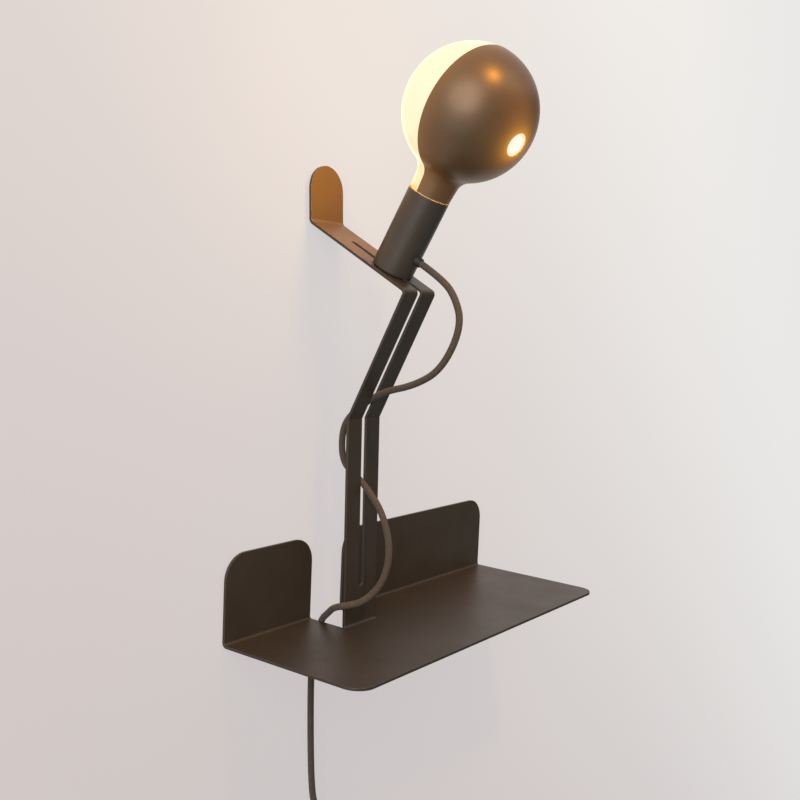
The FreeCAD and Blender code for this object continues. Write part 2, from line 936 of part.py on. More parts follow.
def cord_lower():
    """The cord from below the lamp head through both slots, the notch and down to the switch."""
    points = [cord_split, upper_points[-1]] + [at(*p) for p in lower_route] + [switch_entry]
    return free_cord("cord_lower", points)


coil_most_wound = (coil_turns - coil_reverse) / 2
coil_outer_radius = coil_mid_radius + coil_pitch * coil_most_wound / 2
coil_centre = at(
    switch_x + coil_outer_radius,
    0,
    switch_top - switch_length - coil_drop,
)
coil_layer_step = coil_front_out - coil_back_out


def coil_winding(turn):
    """How far the spiral has wound in, in turns, and the share of the layer step it has climbed."""
    middle = coil_turns / 2
    from_middle = turn - middle
    if abs(from_middle) >= coil_reverse:
        return middle - abs(from_middle), 0.0 if from_middle < 0 else 1.0
    share = from_middle / coil_reverse
    wound = middle - coil_reverse * (1 + share * share) / 2
    climbed = (1 + math.sin(share * math.pi / 2)) / 2
    return wound, climbed


def coil_point(turn):
    """A point on the coil's centre line after a number of turns from where the cord comes in."""
    wound, climbed = coil_winding(turn)
    radius = coil_outer_radius - coil_pitch * wound
    angle = math.pi + 2 * math.pi * turn
    out = coil_front_out - climbed * coil_layer_step
    return coil_centre + V(radius * math.cos(angle), -out, radius * math.sin(angle))


def coil_direction(turn):
    """The coil's direction there; it comes in and leaves straight down."""
    if turn <= 0 or turn >= coil_turns:
        return V(0, 0, -1)
    step = 0.002
    return (coil_point(turn + step) - coil_point(turn - step)).normalize()


def biarc(p0, t0, p1, t1):
    """Two tangent arcs that join two points along two directions."""
    chord = p1 - p0
    spread = t0 + t1
    a = 2 * (1 - t0.dot(t1))
    b = 2 * chord.dot(spread)
    c = -chord.dot(chord)
    reach = (-b + math.sqrt(b * b - 4 * a * c)) / (2 * a)
    q0 = p0 + t0 * reach
    q1 = p1 - t1 * reach
    joint = (q0 + q1) * 0.5
    return [arc_from(p0, t0, joint), arc_to(joint, t1, p1)]


def arc_from(start, direction, end):
    """The arc that leaves start along a direction and reaches end."""
    chord = end - start
    across = (chord - direction * chord.dot(direction)).normalize()
    turn = chord.getAngle(direction)
    height = chord.Length / 2 * math.tan(turn / 2)
    out = (direction - chord.normalize() * direction.dot(chord)).normalize()
    middle = (start + end) * 0.5 + out * height
    return Part.Arc(start, middle, end).toShape()


def arc_to(start, direction, end):
    """The arc that starts at start and reaches end along a direction."""
    back = arc_from(end, direction * -1, start)
    middle = back.valueAt((back.FirstParameter + back.LastParameter) / 2)
    return Part.Arc(start, middle, end).toShape()


def least_self_gap(points, length):
    """The coil's least gap to itself, measured on evenly spaced points of its centre line."""
    apart = 2.5 * cord_diameter
    step = length / len(points)
    skip = int(apart / step) + 1
    least = length
    for i, p in enumerate(points):
        for q in points[i + skip:]:
            least = min(least, p.distanceToPoint(q))
    return least - cord_diameter


def cord_coil():
    """The put-away coil: straight in from the switch, five turns in two layers, and out to the plug."""
    top = at(switch_x, switch_out, switch_top - switch_length)
    first = coil_point(0)
    last = coil_point(coil_turns)
    edges = [Part.LineSegment(top, first).toShape()]
    knots = [0] + [coil_reverse + i / 2 for i in range(2 * coil_turns)] + [coil_turns]
    for a, b in zip(knots, knots[1:]):
        edges += biarc(coil_point(a), coil_direction(a), coil_point(b), coil_direction(b))
    down = V(0, 0, -1)
    shift = V(0, coil_back_out - plug_out, 0)
    tail = [
        last,
        last + down * tail_straight,
        last + down * (tail_length - tail_end_run) + shift,
        last + down * tail_length + shift,
    ]
    edges += rounded_path(tail, path_radii(tail))
    solid = tube(edges, cord_radius, [top, first])
    length = sum(edge.Length for edge in edges)
    samples = Part.Wire(edges).discretize(700)
    expected = math.pi * cord_radius ** 2 * length
    print("cord_coil", "length %.1f" % length, "least gap %.2f" % least_self_gap(samples, length))
    print("cord_coil", "volume %.5f of section times length" % (solid.Volume / expected))
    return solid, length


def coil_tie():
    """The strap that holds the coil's turns together at its right-hand side."""
    inner_loop = coil_outer_radius - coil_pitch * coil_most_wound
    outer_loop = coil_outer_radius - coil_pitch / 2
    bow = inner_loop - math.sqrt(inner_loop ** 2 - (tie_width / 2) ** 2)
    x0 = inner_loop - cord_radius - bow - tie_gap
    x1 = outer_loop + cord_radius + tie_gap
    y0 = coil_back_out - cord_radius - tie_gap
    y1 = coil_front_out + cord_radius + tie_gap
    place = coil_centre - V(0, 0, tie_width / 2)
    inner = strap_loop(x0, x1, y0, y1, cord_radius, place)
    t = tie_thickness
    outer = strap_loop(x0 - t, x1 + t, y0 - t, y1 + t, cord_radius + t, place)
    return outer.cut(inner)


def strap_loop(x0, x1, y0, y1, corner, place):
    """A filled strap outline with rounded corners, as wide as the tie."""
    points = [V(x1, -y1, 0), V(x1, -y0, 0), V(x0, -y0, 0), V(x0, -y1, 0)]
    middle = V((x0 + x1) / 2, -y1, 0)
    face = Part.Face(Part.Wire(rounded_path([middle] + points + [middle], [corner] * 4)))
    face.translate(place)
    return face.extrude(V(0, 0, tie_width))


switch_centre = at(switch_x, switch_out, switch_top - switch_length / 2)
switch_face = switch_thickness / 2


def switch_block(shrink):
    """The switch's rounded outer form, or its hollow, at one distance inside its surface."""
    w = switch_width - 2 * shrink
    h = switch_length - 2 * shrink
    t = switch_thickness - 2 * shrink
    plate = rounded_plate(w, h, switch_corner - shrink, t, V(0, t / 2, 0))
    rims = [e for e in plate.Edges if e.BoundBox.YLength < 1e-6]
    return plate.makeFillet(switch_edge - shrink, rims)


def switch_half(side):
    """One half of the hollow switch housing; side is -1 in front and 1 behind."""
    big = 2 * switch_length
    half = Part.makeBox(big, big, big, V(-big / 2, 0 if side > 0 else -big, -big / 2))
    shell = switch_block(0.0).cut(switch_block(switch_wall)).common(half)
    inlet = 2 * core_radius + core_gap
    for sign in (-1, 1):
        start = V(0, 0, sign * (switch_length / 2 - 2 * switch_wall))
        shell = shell.cut(Part.makeCylinder(inlet, 4 * switch_wall, start, V(0, 0, sign)))
    return shell


def rocker_window():
    """What is cut out of the front shell for the rocker."""
    width = rocker_width + 2 * rocker_gap
    height = rocker_length + 2 * rocker_gap
    return Part.makeBox(width, switch_thickness, height, V(-width / 2, -switch_thickness, -height / 2))


def switch_front_shell():
    """The front half of the switch housing, with the rocker's window and its pin's bearings."""
    shell = switch_half(-1).cut(rocker_window())
    face = switch_face - switch_wall + lug_overlap
    inner = rocker_width / 2 + rocker_gap
    for x in (inner, -inner - lug_width):
        corner = V(x, -face, -lug_height / 2)
        shell = shell.fuse(Part.makeBox(lug_width, face - lug_from_parting, lug_height, corner))
    pin = Part.makeCylinder(rocker_pin_radius, 2 * (inner + lug_width), pin_line(-inner - lug_width), X_AXIS)
    shell = shell.cut(pin).removeSplitter()
    shell.translate(switch_centre)
    return shell


def pin_line(x):
    """A point on the rocker pin's axis, from the switch's centre."""
    return V(x, rocker_pin_depth - switch_face, 0)


def switch_back_shell():
    """The back half of the switch housing, with screw holes."""
    shell = switch_half(1)
    clear = switch_screw_shank + switch_screw_gap
    for x, z in screw_places():
        outside = V(x, switch_face, z)
        hole = Part.makeCylinder(clear, 2 * switch_wall, outside, -Y_AXIS)
        sink = Part.makeCylinder(switch_screw_radius, switch_screw_head, outside, -Y_AXIS)
        shell = shell.cut(hole).cut(sink)
    shell.translate(switch_centre)
    return shell


def screw_places():
    """Where the switch's two screws stand, on one diagonal."""
    z = switch_length / 2 - switch_screw_from_end
    return [(-switch_screw_spread, z), (switch_screw_spread, -z)]


def switch_screws():
    """The two screws that close the switch from behind."""
    screws = []
    radius = switch_screw_radius - close_fit
    for x, z in screw_places():
        outside = V(x, switch_face, z)
        inside = V(x, switch_face - switch_screw_head, z)
        head = Part.makeCylinder(radius, switch_screw_head, outside, -Y_AXIS)
        shank = Part.makeCylinder(switch_screw_shank, switch_screw_length, inside, -Y_AXIS)
        screw = head.fuse(shank).removeSplitter()
        for wide, high in ((cross_length, cross_width), (cross_width, cross_length)):
            corner = outside - V(wide / 2, cross_depth, high / 2)
            screw = screw.cut(Part.makeBox(wide, cross_depth, high, corner))
        screw.translate(switch_centre)
        screws.append(screw)
    return Part.makeCompound(screws)


def switch_rocker():
    """The rocker: a shallow valley in front, a rounded belly and a pin hole behind."""
    h = rocker_length / 2
    upper = V(0, -(switch_face + rocker_end_rise), h)
    lower = V(0, -(switch_face + rocker_end_rise), -h)
    valley = V(0, rocker_valley - switch_face, 0)
    upper_cheek = V(0, rocker_cheek - switch_face, h)
    lower_cheek = V(0, rocker_cheek - switch_face, -h)
    belly = V(0, rocker_pin_depth + rocker_belly - switch_face, 0)
    edges = [
        Part.Arc(lower, valley, upper).toShape(),
        Part.LineSegment(upper, upper_cheek).toShape(),
        Part.Arc(upper_cheek, belly, lower_cheek).toShape(),
        Part.LineSegment(lower_cheek, lower).toShape(),
    ]
    face = Part.Face(Part.Wire(edges))
    face.translate(V(-rocker_width / 2, 0, 0))
    rocker = face.extrude(V(rocker_width, 0, 0))
    hole_radius = rocker_pin_radius + close_fit
    rocker = rocker.cut(Part.makeCylinder(hole_radius, 2 * rocker_width, pin_line(-rocker_width), X_AXIS))
    rocker.rotate(pin_line(0), X_AXIS, -rocker_swing)
    rocker.translate(switch_centre)
    return rocker


def rocker_pin():
    """The pin that the rocker swings on."""
    half = rocker_width / 2 + rocker_gap + lug_width
    return Part.makeCylinder(rocker_pin_radius, 2 * half, switch_centre + pin_line(-half), X_AXIS)


def switch_contacts():
    """Two contact strips in the back half, each reaching one of the cord's ends."""
    strips = []
    floor = switch_face - switch_wall
    near = contact_width / 2
    far = switch_length / 2 - switch_edge - near
    w = contact_width / 2
    t = contact_thickness
    x = (contact_width - w) / 2
    for turn in (0, 180):
        base = Part.makeBox(w, t, far - near, V(x, floor - t, near))
        post = Part.makeBox(w, contact_post, t, V(x, floor - contact_post, near))
        strip = base.fuse(post).removeSplitter()
        strip.rotate(V(0, 0, 0), Y_AXIS, turn)
        strip.translate(switch_centre)
        strips.append(strip)
    return Part.makeCompound(strips)


plug_top = V(switch_x, -plug_out, coil_centre.z - tail_length)
plug_neck = plug_top - V(0, 0, relief_length)
plug_face = plug_neck - V(0, 0, plug_length)


def plug_relief():
    """The ribbed strain relief where the cord enters the plug, widening towards the plug."""
    pitch = relief_length / relief_ribs
    points = [(0, 0)]
    for i in range(relief_ribs):
        z = -i * pitch
        rib_end = z - pitch * relief_rib_share
        rib = relief_radius - relief_taper * (relief_ribs - 1 - i)
        root = rib - relief_groove
        points += [(rib, z), (rib, rib_end), (root, rib_end), (root, z - pitch)]
    points.append((0, -relief_length))
    solid = turned(points)
    solid.translate(plug_top)
    return solid


def plug_body():
    """The flat plug body: narrow at the cord, widening to the face with the pins."""
    w = plug_width / 2
    n = plug_neck_width / 2
    right = [V(n, 0, 0), V(w, 0, -plug_shoulder), V(w, 0, -plug_length)]
    left = [V(-p.x, 0, p.z) for p in reversed(right)]
    start = V(0, 0, 0)
    rounds = [plug_neck_round, plug_shoulder_round, plug_face_round]
    edges = rounded_path([start] + right + left + [start], rounds + rounds[::-1])
    face = Part.Face(Part.Wire(edges))
    face.translate(V(0, plug_thickness / 2, 0))
    body = face.extrude(V(0, -plug_thickness, 0))
    rims = [e for e in body.Edges if e.BoundBox.YLength < 1e-6]
    body = body.makeFillet(plug_edge, rims)
    body.translate(plug_neck)
    for foot in pin_feet():
        body = body.cut(Part.makeCylinder(pin_shank_radius, pin_sunk, foot))
    return body


def pin_feet():
    """Where the two pins leave the plug's face."""
    return [plug_face + V(side * pin_spacing / 2, 0, 0) for side in (-1, 1)]


def plug_pins():
    """The two round pins, each with a thinner shank sunk in the plug's body."""
    pins = []
    for foot in pin_feet():
        shank = Part.makeCylinder(pin_shank_radius, pin_sunk, foot)
        pin = Part.makeCylinder(pin_radius, pin_length, foot, -Z_AXIS)
        tip = [e for e in pin.Edges if e.BoundBox.ZMax < foot.z - pin_length / 2]
        pins.append(pin.makeFillet(pin_tip_round, tip).fuse(shank))
    return Part.makeCompound(pins)


def save(name, shape):
    """Writes one piece and prints what a bad shape would show."""
    if not shape.isValid():
        print("not valid:", name)
    print("%-20s solids %d volume %.1f" % (name, len(shape.Solids), shape.Volume))
    shape.exportStep("parts/%s.step" % name)


def main():
    os.makedirs("parts", exist_ok=True)
    save("folded_bracket", folded_bracket())
    save("wall_hanger", wall_hanger())
    for piece in (
        lampholder_tube, threaded_stem, stem_nut, clamp_screw, clamp_washer, cord_gland, gland_nut,
        socket_base, socket_skirt, thread_sleeve, centre_contact, side_contact, terminal_screws, core_wires,
    ):
        save(piece.__name__, placed(piece(), head_place))
    for piece in (
        globe_glass, half_shell, bulb_cap, cap_insulator, cap_contact, bulb_collar, driver_board,
        light_carrier, light_board,
    ):
        save(piece.__name__, placed(piece(), bulb_place))
    total = 0.0
    for piece in (cord_upper, cord_lower, cord_coil):
        solid, length = piece()
        total += length
        save(piece.__name__, solid)
    print("cord length with the switch %.1f" % (total + switch_length))
    for piece in (
        coil_tie, switch_front_shell, switch_back_shell, switch_rocker, rocker_pin, switch_contacts,
        switch_screws, plug_relief, plug_body, plug_pins,
    ):
        save(piece.__name__, piece())


main()
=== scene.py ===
"""Looks of a wall lamp with a shelf: folded bronze sheet, lampholder, half-covered globe bulb and cord.

Metres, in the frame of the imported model: X along the wall, the wall at Y = 0 with the room towards -Y,
Z up, and the origin at the wall screw. Side positions are (x, out, up): out from the wall and up from
the shelf's top where it meets its flanges.
"""
import bpy
import json
import math
from mathutils import Matrix, Vector

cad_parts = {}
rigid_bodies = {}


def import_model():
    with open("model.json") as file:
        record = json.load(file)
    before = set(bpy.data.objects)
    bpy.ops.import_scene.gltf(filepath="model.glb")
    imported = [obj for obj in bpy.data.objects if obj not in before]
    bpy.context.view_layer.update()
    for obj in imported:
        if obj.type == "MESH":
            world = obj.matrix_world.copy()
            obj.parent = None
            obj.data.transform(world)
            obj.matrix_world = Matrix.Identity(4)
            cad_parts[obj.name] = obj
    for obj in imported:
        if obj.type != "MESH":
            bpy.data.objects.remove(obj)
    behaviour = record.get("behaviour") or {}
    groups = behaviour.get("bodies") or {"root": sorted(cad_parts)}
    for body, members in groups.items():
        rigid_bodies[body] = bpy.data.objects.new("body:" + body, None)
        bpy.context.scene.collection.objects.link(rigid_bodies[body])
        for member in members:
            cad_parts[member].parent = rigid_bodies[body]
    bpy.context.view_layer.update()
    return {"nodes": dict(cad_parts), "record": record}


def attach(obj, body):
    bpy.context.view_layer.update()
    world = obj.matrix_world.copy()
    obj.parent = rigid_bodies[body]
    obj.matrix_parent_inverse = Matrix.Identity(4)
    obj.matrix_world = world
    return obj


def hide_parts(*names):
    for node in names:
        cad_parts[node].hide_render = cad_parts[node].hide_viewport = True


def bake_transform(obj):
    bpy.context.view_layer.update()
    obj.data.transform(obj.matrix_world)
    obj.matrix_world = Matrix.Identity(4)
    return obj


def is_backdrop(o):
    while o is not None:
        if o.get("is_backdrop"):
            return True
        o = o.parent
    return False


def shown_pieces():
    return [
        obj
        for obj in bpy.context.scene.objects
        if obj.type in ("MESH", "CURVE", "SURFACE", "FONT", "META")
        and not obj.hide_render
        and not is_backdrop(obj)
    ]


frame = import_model()
nodes = frame["nodes"]

# Camera, from the photograph's edges
picture_px = 800
focal_px = 1029.2
centre_px = (365.6, 396.6)
camera_azimuth = -52.03
camera_elevation = 3.02
camera_roll = -0.094
camera_distance = 1.0117
camera_target = (-0.0064, -0.0600, -0.2041)
sensor_mm = 36.0

# The object's sizes that the looks need
shelf_z = -0.430
cord_diameter = 0.0067
switch_x = -0.028
switch_out = 0.0121
switch_top = -0.212
switch_length = 0.056
coil_turns = 5
coil_mid_radius = 0.036
coil_pitch = 0.0071
coil_drop = 0.038
coil_back_out = 0.005
coil_crossing = 0.25
lead_run = 0.012
tail_length = 0.062
tail_bend_from = 0.5
tail_bend_to = 0.8
plug_out = 0.0076

head_foot = (0.0877, 0.3485)
head_axis = (0.5343, 0.8453)
shell_turn = -3.5
rim_front = 0.0006
globe_up = 0.1635
globe_radius = 0.062
peep_drop = 0.003
peep_radius = 0.011
board_top = 0.1516
tube_top = 0.0810
chip_count = 14
chip_ring_radius = 0.0102
chip_size = (0.0022, 0.0026, 0.0008)

# How finely the cord is drawn
line_steps = 16
coil_points_per_turn = 16
cord_step = 0.0016
cord_sides = 24

# Stage, as linear colours
wall_behind = 0.0006
floor_z = -1.4
stage_reach = 5.0
# The wall's colour holds painted light and shade: darker at the low left and lighter at the high right, as
# the lamps fall on it.
wall_painted_shade_colour = (0.632, 0.587, 0.589)
wall_painted_light_colour = (0.885, 0.881, 0.876)
wall_painted_light_way = (0.310, 0.0, 0.283)
wall_painted_shade_end = -0.28
wall_painted_light_end = 0.45
floor_colour = (0.62, 0.59, 0.57)
stage_glow = 0.85
stage_share = 0.2
plaster_roughness = 0.9
backdrop_colour = (0.70, 0.68, 0.66)
room_light = (0.30, 0.30, 0.30)
screen_colour = (0.162, 0.200, 0.195)
screen_radius = 3.0
screen_from = -110.0
screen_to = 120.0
screen_panels = 24
screen_top = 1.1

# Lights: watts, size, and where they stand round the globe as (azimuth, elevation, distance)
key_light = dict(watts=2.4, size=1.1, place=(23.9, 34.6, 2.2), colour=(0.85, 1.0, 0.85))
window_light = dict(watts=35.5, size=1.8, place=(-64.5, 13.0, 2.0), colour=(1.0, 0.93, 0.86))
ceiling_light = dict(watts=13.5, size=0.22, place=(-10.8, 44.5, 1.5), colour=(1.0, 0.50, 0.05))
low_light = dict(watts=4.2, size=1.5, place=(-75.0, -20.0, 2.0), colour=(0.85, 0.95, 1.0))
amber_light = dict(watts=5.5, size=1.6, place=(23.9, 5.6, 1.6), colour=(1.0, 0.32, 0.07))
globe_light = dict(watts=8.1, size=0.04, colour=(1.0, 0.39, 0.03))
globe_glow = dict(watts=1.6, size=0.05, colour=(1.0, 0.68, 0.24))
globe_light_back = -0.015

# Bronze powder coats, as linear colours from the deeper tone to the lighter one and the painted highlight
# on the edges
bronze_tones = ((0.049, 0.038, 0.030), (0.059, 0.046, 0.036), (0.110, 0.088, 0.070))
tube_tones = ((0.066, 0.052, 0.041), (0.078, 0.061, 0.048), (0.130, 0.104, 0.084))
shell_tones = ((0.130, 0.080, 0.046), (0.150, 0.093, 0.054), (0.200, 0.135, 0.088))
bracket_coat = dict(tones=bronze_tones, roughness=0.42, metal=0.30)
tube_coat = dict(tones=tube_tones, roughness=0.42, metal=0.30)
shell_coat = dict(tones=shell_tones, roughness=0.38, metal=0.45, edge=0.0002)
coat_edge = 0.0007
coat_grain = 0.0007
coat_mottle = 0.035
coat_mottle_span = (0.3, 0.7)
coat_relief = 0.00003
coat_gloss_swing = 0.03

# Metals and plastics, as linear colours, with their scratches and grain
zinc_plate = dict(light=(0.62, 0.62, 0.60), deep=(0.48, 0.48, 0.47), roughness=0.38)
blackened_steel = dict(light=(0.045, 0.043, 0.042), deep=(0.025, 0.024, 0.024), roughness=0.45, metal=0.6)
brass = dict(light=(0.72, 0.50, 0.20), deep=(0.56, 0.37, 0.13), roughness=0.3)
nickel_plate = dict(light=(0.70, 0.68, 0.62), deep=(0.56, 0.54, 0.50), roughness=0.22)
cast_aluminium = dict(light=(0.72, 0.72, 0.73), deep=(0.58, 0.58, 0.59), roughness=0.42)
cast_skin = dict(size=0.0008, stretch=1.0, depth=0.00003)
black_plastic = dict(light=(0.022, 0.021, 0.021), deep=(0.014, 0.014, 0.014), roughness=0.38, coat=0.1)
matt_black = dict(light=(0.030, 0.028, 0.026), deep=(0.018, 0.017, 0.016), roughness=0.5)
white_plastic = dict(light=(0.82, 0.81, 0.78), deep=(0.76, 0.75, 0.72), roughness=0.45)
porcelain = dict(light=(0.84, 0.82, 0.77), deep=(0.74, 0.71, 0.66), roughness=0.3, size=0.0012, coat=0.3)
core_insulation = dict(light=(0.30, 0.13, 0.05), deep=(0.24, 0.10, 0.04), roughness=0.45)
soft_rubber = dict(light=(0.026, 0.025, 0.024), deep=(0.016, 0.016, 0.016), roughness=0.6, size=0.0003)
scratch_size = 0.0004
scratch_stretch = 12.0
scratch_relief = 0.00001
metal_gloss_swing = 0.06
mould_grain = 0.0005
mould_relief = 0.00003
mould_gloss_swing = 0.05
mould_wear_share = 0.03
tone_span = (0.35, 0.65)

# Noise detail, and how the rounded edges are found
broad_detail = 2.0
fine_detail = 3.0
scratch_detail = 4.0
edge_samples = 8
edge_span = (0.999, 0.8)

# The bulb's circuit board
board_tones = ((0.015, 0.10, 0.04), (0.04, 0.20, 0.08))
board_roughness = 0.30
board_gloss_swing = 0.05
board_grain = 0.0004
track_scale = 220.0
track_width = 0.05
track_relief = 0.00003

# The painted glow round the shell's hole and rim, an emission on the metal in place of the light's halo,
# and the glowing glass
painted_glow_colour = (1.0, 0.40, 0.04)
painted_glow_strength = 0.56
painted_halo_fall = 0.008
painted_rim_glow = 0.24
painted_rim_glow_fall = 0.014
glass_foot = (1.0, 0.50, 0.10)
glass_neck = (0.90, 0.68, 0.38)
glass_rim = (0.88, 0.71, 0.40)
glass_body = (0.94, 0.78, 0.52)
glass_hot = (0.98, 0.93, 0.79)
glass_strength = 1.0
glass_neck_from = 0.012
glass_neck_to = 0.040
glass_foot_to = 0.008
glass_rim_blend = 0.35
glass_rim_span = (0.25, 0.9)
hot_edge_share = 1.05
hot_core_share = 0.5
glass_skin = ((0.20, 0.18, 0.14), (0.24, 0.22, 0.17))
glass_cloud_scale = 60.0
glass_roughness = 0.12

# The cord's braid
cord_deep = (0.076, 0.053, 0.038)
cord_light = (0.128, 0.090, 0.062)
# The gap colour is painted shade between the braid's strands.
cord_gap_shade = (0.030, 0.022, 0.017)
cord_roughness = (0.62, 0.74)
cord_sheen = 0.15
cord_sheen_roughness = 0.4
braid_strands = 14.0
braid_lay = 0.024
braid_relief = 0.00025
threads_per_strand = 3
thread_relief = 0.12
strand_shade_power = 0.5

# The cord's corners as (x, out, up), from the lampholder's gland down to the switch.
# Most of them were fitted to the photograph by least squares and not chosen by hand.
flex_route = [
    (0.0000, 0.1215, 0.3532),
    (0.0000, 0.1417, 0.3404),
    (0.0000, 0.1588, 0.3239),
    (0.0000, 0.1680, 0.2944),
    (0.0000, 0.1458, 0.2537),
    (0.0000, 0.1134, 0.2376),
    (0.0000, 0.0754, 0.2307),
    (0.0000, 0.0451, 0.2137),
    (0.0000, 0.0252, 0.1956),
    (0.0000, 0.0241, 0.1597),
    (0.0000, 0.0420, 0.1463),
    (0.0000, 0.0570, 0.1340),
    (0.0000, 0.0761, 0.1114),
    (0.0000, 0.0859, 0.0770),
    (-0.0020, 0.0788, 0.0429),
    (-0.0140, 0.0631, 0.0234),
    (-0.0300, 0.0530, 0.0215),
    (-0.0305, 0.0380, 0.0175),
    (-0.0265, 0.0277, 0.0096),
    (-0.0205, 0.0137, -0.0002),
    (-0.0200, 0.0055, -0.0220),
    (-0.0274, 0.0050, -0.0440),
    (-0.0292, 0.0060, -0.1720),
    (-0.0280, 0.0121, -0.1960),
    (-0.0280, 0.0121, -0.2120),
]


def at(x, out, up):
    """A point from its place along the wall, out from the wall and up from the shelf."""
    return Vector((x, -out, shelf_z + up))


def direction(azimuth, elevation):
    """The way to something seen from the lamp; azimuth 0 is straight out from the wall."""
    a = math.radians(azimuth)
    e = math.radians(elevation)
    return Vector((math.sin(a) * math.cos(e), -math.cos(a) * math.cos(e), math.sin(e)))


def photo_camera():
    """The camera at the photograph's place, with the photograph's lens and framing."""
    data = bpy.data.cameras.new("photo_camera")
    data.sensor_width = sensor_mm
    data.lens = sensor_mm * focal_px / picture_px
    data.shift_x = (picture_px / 2 - centre_px[0]) / picture_px
    data.shift_y = (centre_px[1] - picture_px / 2) / picture_px
    camera = bpy.data.objects.new("photo_camera", data)
    bpy.context.scene.collection.objects.link(camera)
    turn = Matrix.Rotation(math.radians(camera_azimuth), 3, "Z")
    tip = Matrix.Rotation(math.radians(90 - camera_elevation), 3, "X")
    roll = Matrix.Rotation(math.radians(camera_roll), 3, "Z")
    camera.matrix_world = (turn @ tip @ roll).to_4x4()
    camera.location = Vector(camera_target) + direction(camera_azimuth, camera_elevation) * camera_distance
    bpy.context.scene.camera = camera


# Cord

def route_spline(name, points):
    """A smooth line through the room with the route's points as its control points."""
    curve = bpy.data.curves.new(name, "CURVE")
    curve.dimensions = "3D"
    curve.resolution_u = line_steps
    spline = curve.splines.new("NURBS")
    spline.points.add(len(points) - 1)
    for point, place in zip(spline.points, points):
        point.co = (*place, 1.0)
    spline.order_u = 3
    spline.use_endpoint_u = True
    return curve


def line_points(curve):
    """The points of the smooth line itself, in order."""
    guide = bpy.data.objects.new("guide", curve)
    bpy.context.scene.collection.objects.link(guide)
    bpy.context.view_layer.update()
    mesh = bpy.data.meshes.new_from_object(guide)
    places = [v.co.copy() for v in mesh.vertices]
    bpy.data.objects.remove(guide)
    bpy.data.meshes.remove(mesh)
    return places


def evenly(places, step):
    """The same line with its points at even steps."""
    lengths = [0.0]
    for a, b in zip(places, places[1:]):
        lengths.append(lengths[-1] + (b - a).length)
    count = max(2, round(lengths[-1] / step))
    result = []
    k = 0
    for i in range(count + 1):
        want = lengths[-1] * i / count
        while k < len(places) - 2 and lengths[k + 1] < want:
            k += 1
        share = (want - lengths[k]) / max(lengths[k + 1] - lengths[k], 1e-9)
        result.append(places[k].lerp(places[k + 1], share))
    return result


def rings_along(places, radius, sides):
    """Rings of points square to the line, none twisted against the next, and the run up to each."""
    rings = []
    runs = []
    across = None
    run = 0.0
    for i, place in enumerate(places):
        before = places[max(i - 1, 0)]
        after = places[min(i + 1, len(places) - 1)]
        along = (after - before).normalized()
        if across is None:
            across = along.orthogonal().normalized()
        across = (across - along * across.dot(along)).normalized()
        other = along.cross(across)
        ring = []
        for j in range(sides):
            angle = 2 * math.pi * j / sides
            ring.append(place + (across * math.cos(angle) + other * math.sin(angle)) * radius)
        rings.append(ring)
        run += (place - before).length
        runs.append(run)
    return rings, runs


def sleeve(name, places, diameter, sides=cord_sides):
    """A closed round tube along the places, with a map of turn and length on its skin."""
    rings, runs = rings_along(places, diameter / 2, sides)
    vertices = [v for ring in rings for v in ring]
    faces = []
    corners = []
    for i in range(len(rings) - 1):
        for j in range(sides):
            k = (j + 1) % sides
            faces.append((i * sides + j, i * sides + k, (i + 1) * sides + k, (i + 1) * sides + j))
            left = j / sides
            right = (j + 1) / sides
            corners += [(left, runs[i]), (right, runs[i]), (right, runs[i + 1]), (left, runs[i + 1])]
    last = (len(rings) - 1) * sides
    faces.append(tuple(reversed(range(sides))))
    faces.append(tuple(last + j for j in range(sides)))
    corners += [(j / sides, 0.0) for j in reversed(range(sides))]
    corners += [(j / sides, runs[-1]) for j in range(sides)]
    mesh = bpy.data.meshes.new(name)
    mesh.from_pydata(vertices, [], faces)
    layer = mesh.uv_layers.new(name="skin")
    for loop, uv in zip(layer.data, corners):
        loop.uv = uv
    mesh.shade_smooth()
    for face in mesh.polygons[-2:]:
        face.use_smooth = False
    piece = bpy.data.objects.new(name, mesh)
    bpy.context.scene.collection.objects.link(piece)
    return piece


coil_outer_radius = coil_mid_radius + coil_pitch * (coil_turns / 2 - coil_crossing / 2) / 2
coil_centre = at(switch_x + coil_outer_radius, 0, switch_top - switch_length - coil_drop)


def coil_point(turn):
    """A corner of the put-away coil, after a number of turns from where the cord comes in.

    The cord winds inwards in the front layer, crosses at its middle and winds outwards behind.
    """
    middle = coil_turns / 2
    from_middle = turn - middle
    wound = middle - abs(from_middle)
    climbed = 0.0 if from_middle < 0 else 1.0
    if abs(from_middle) < coil_crossing:
        share = from_middle / coil_crossing
        wound = middle - coil_crossing / 2 * (1 + share * share)
        climbed = (1 + math.sin(share * math.pi / 2)) / 2
    radius = (coil_outer_radius - coil_pitch * wound) / math.cos(math.pi / coil_points_per_turn)
    angle = math.pi + 2 * math.pi * turn
    out = switch_out + climbed * (coil_back_out - switch_out)
    return coil_centre + Vector((radius * math.cos(angle), -out, radius * math.sin(angle)))


def lead_route():
    """The second lead's corners: down from the switch, round the coil and down to the plug."""
    top = at(switch_x, switch_out, switch_top - switch_length)
    steps = coil_turns * coil_points_per_turn
    turns = [(i + 0.5) / coil_points_per_turn for i in range(steps)]
    points = [top, Vector((top.x, top.y, coil_centre.z + lead_run))]
    points += [coil_point(turn) for turn in turns]
    low = coil_centre.z
    points.append(Vector((switch_x, -coil_back_out, low - lead_run)))
    points.append(Vector((switch_x, -coil_back_out, low - tail_length * tail_bend_from)))
    points.append(Vector((switch_x, -plug_out, low - tail_length * tail_bend_to)))
    points.append(Vector((switch_x, -plug_out, low - tail_length)))
    return points


def head_point(side, out, along):
    """A point in the lamp head's own axes: to its side, out from the tube and along it."""
    foot = at(side, *head_foot)
    outward = Vector((0, -head_axis[1], -head_axis[0]))
    return foot + outward * out + Vector((0, -head_axis[0], head_axis[1])) * along


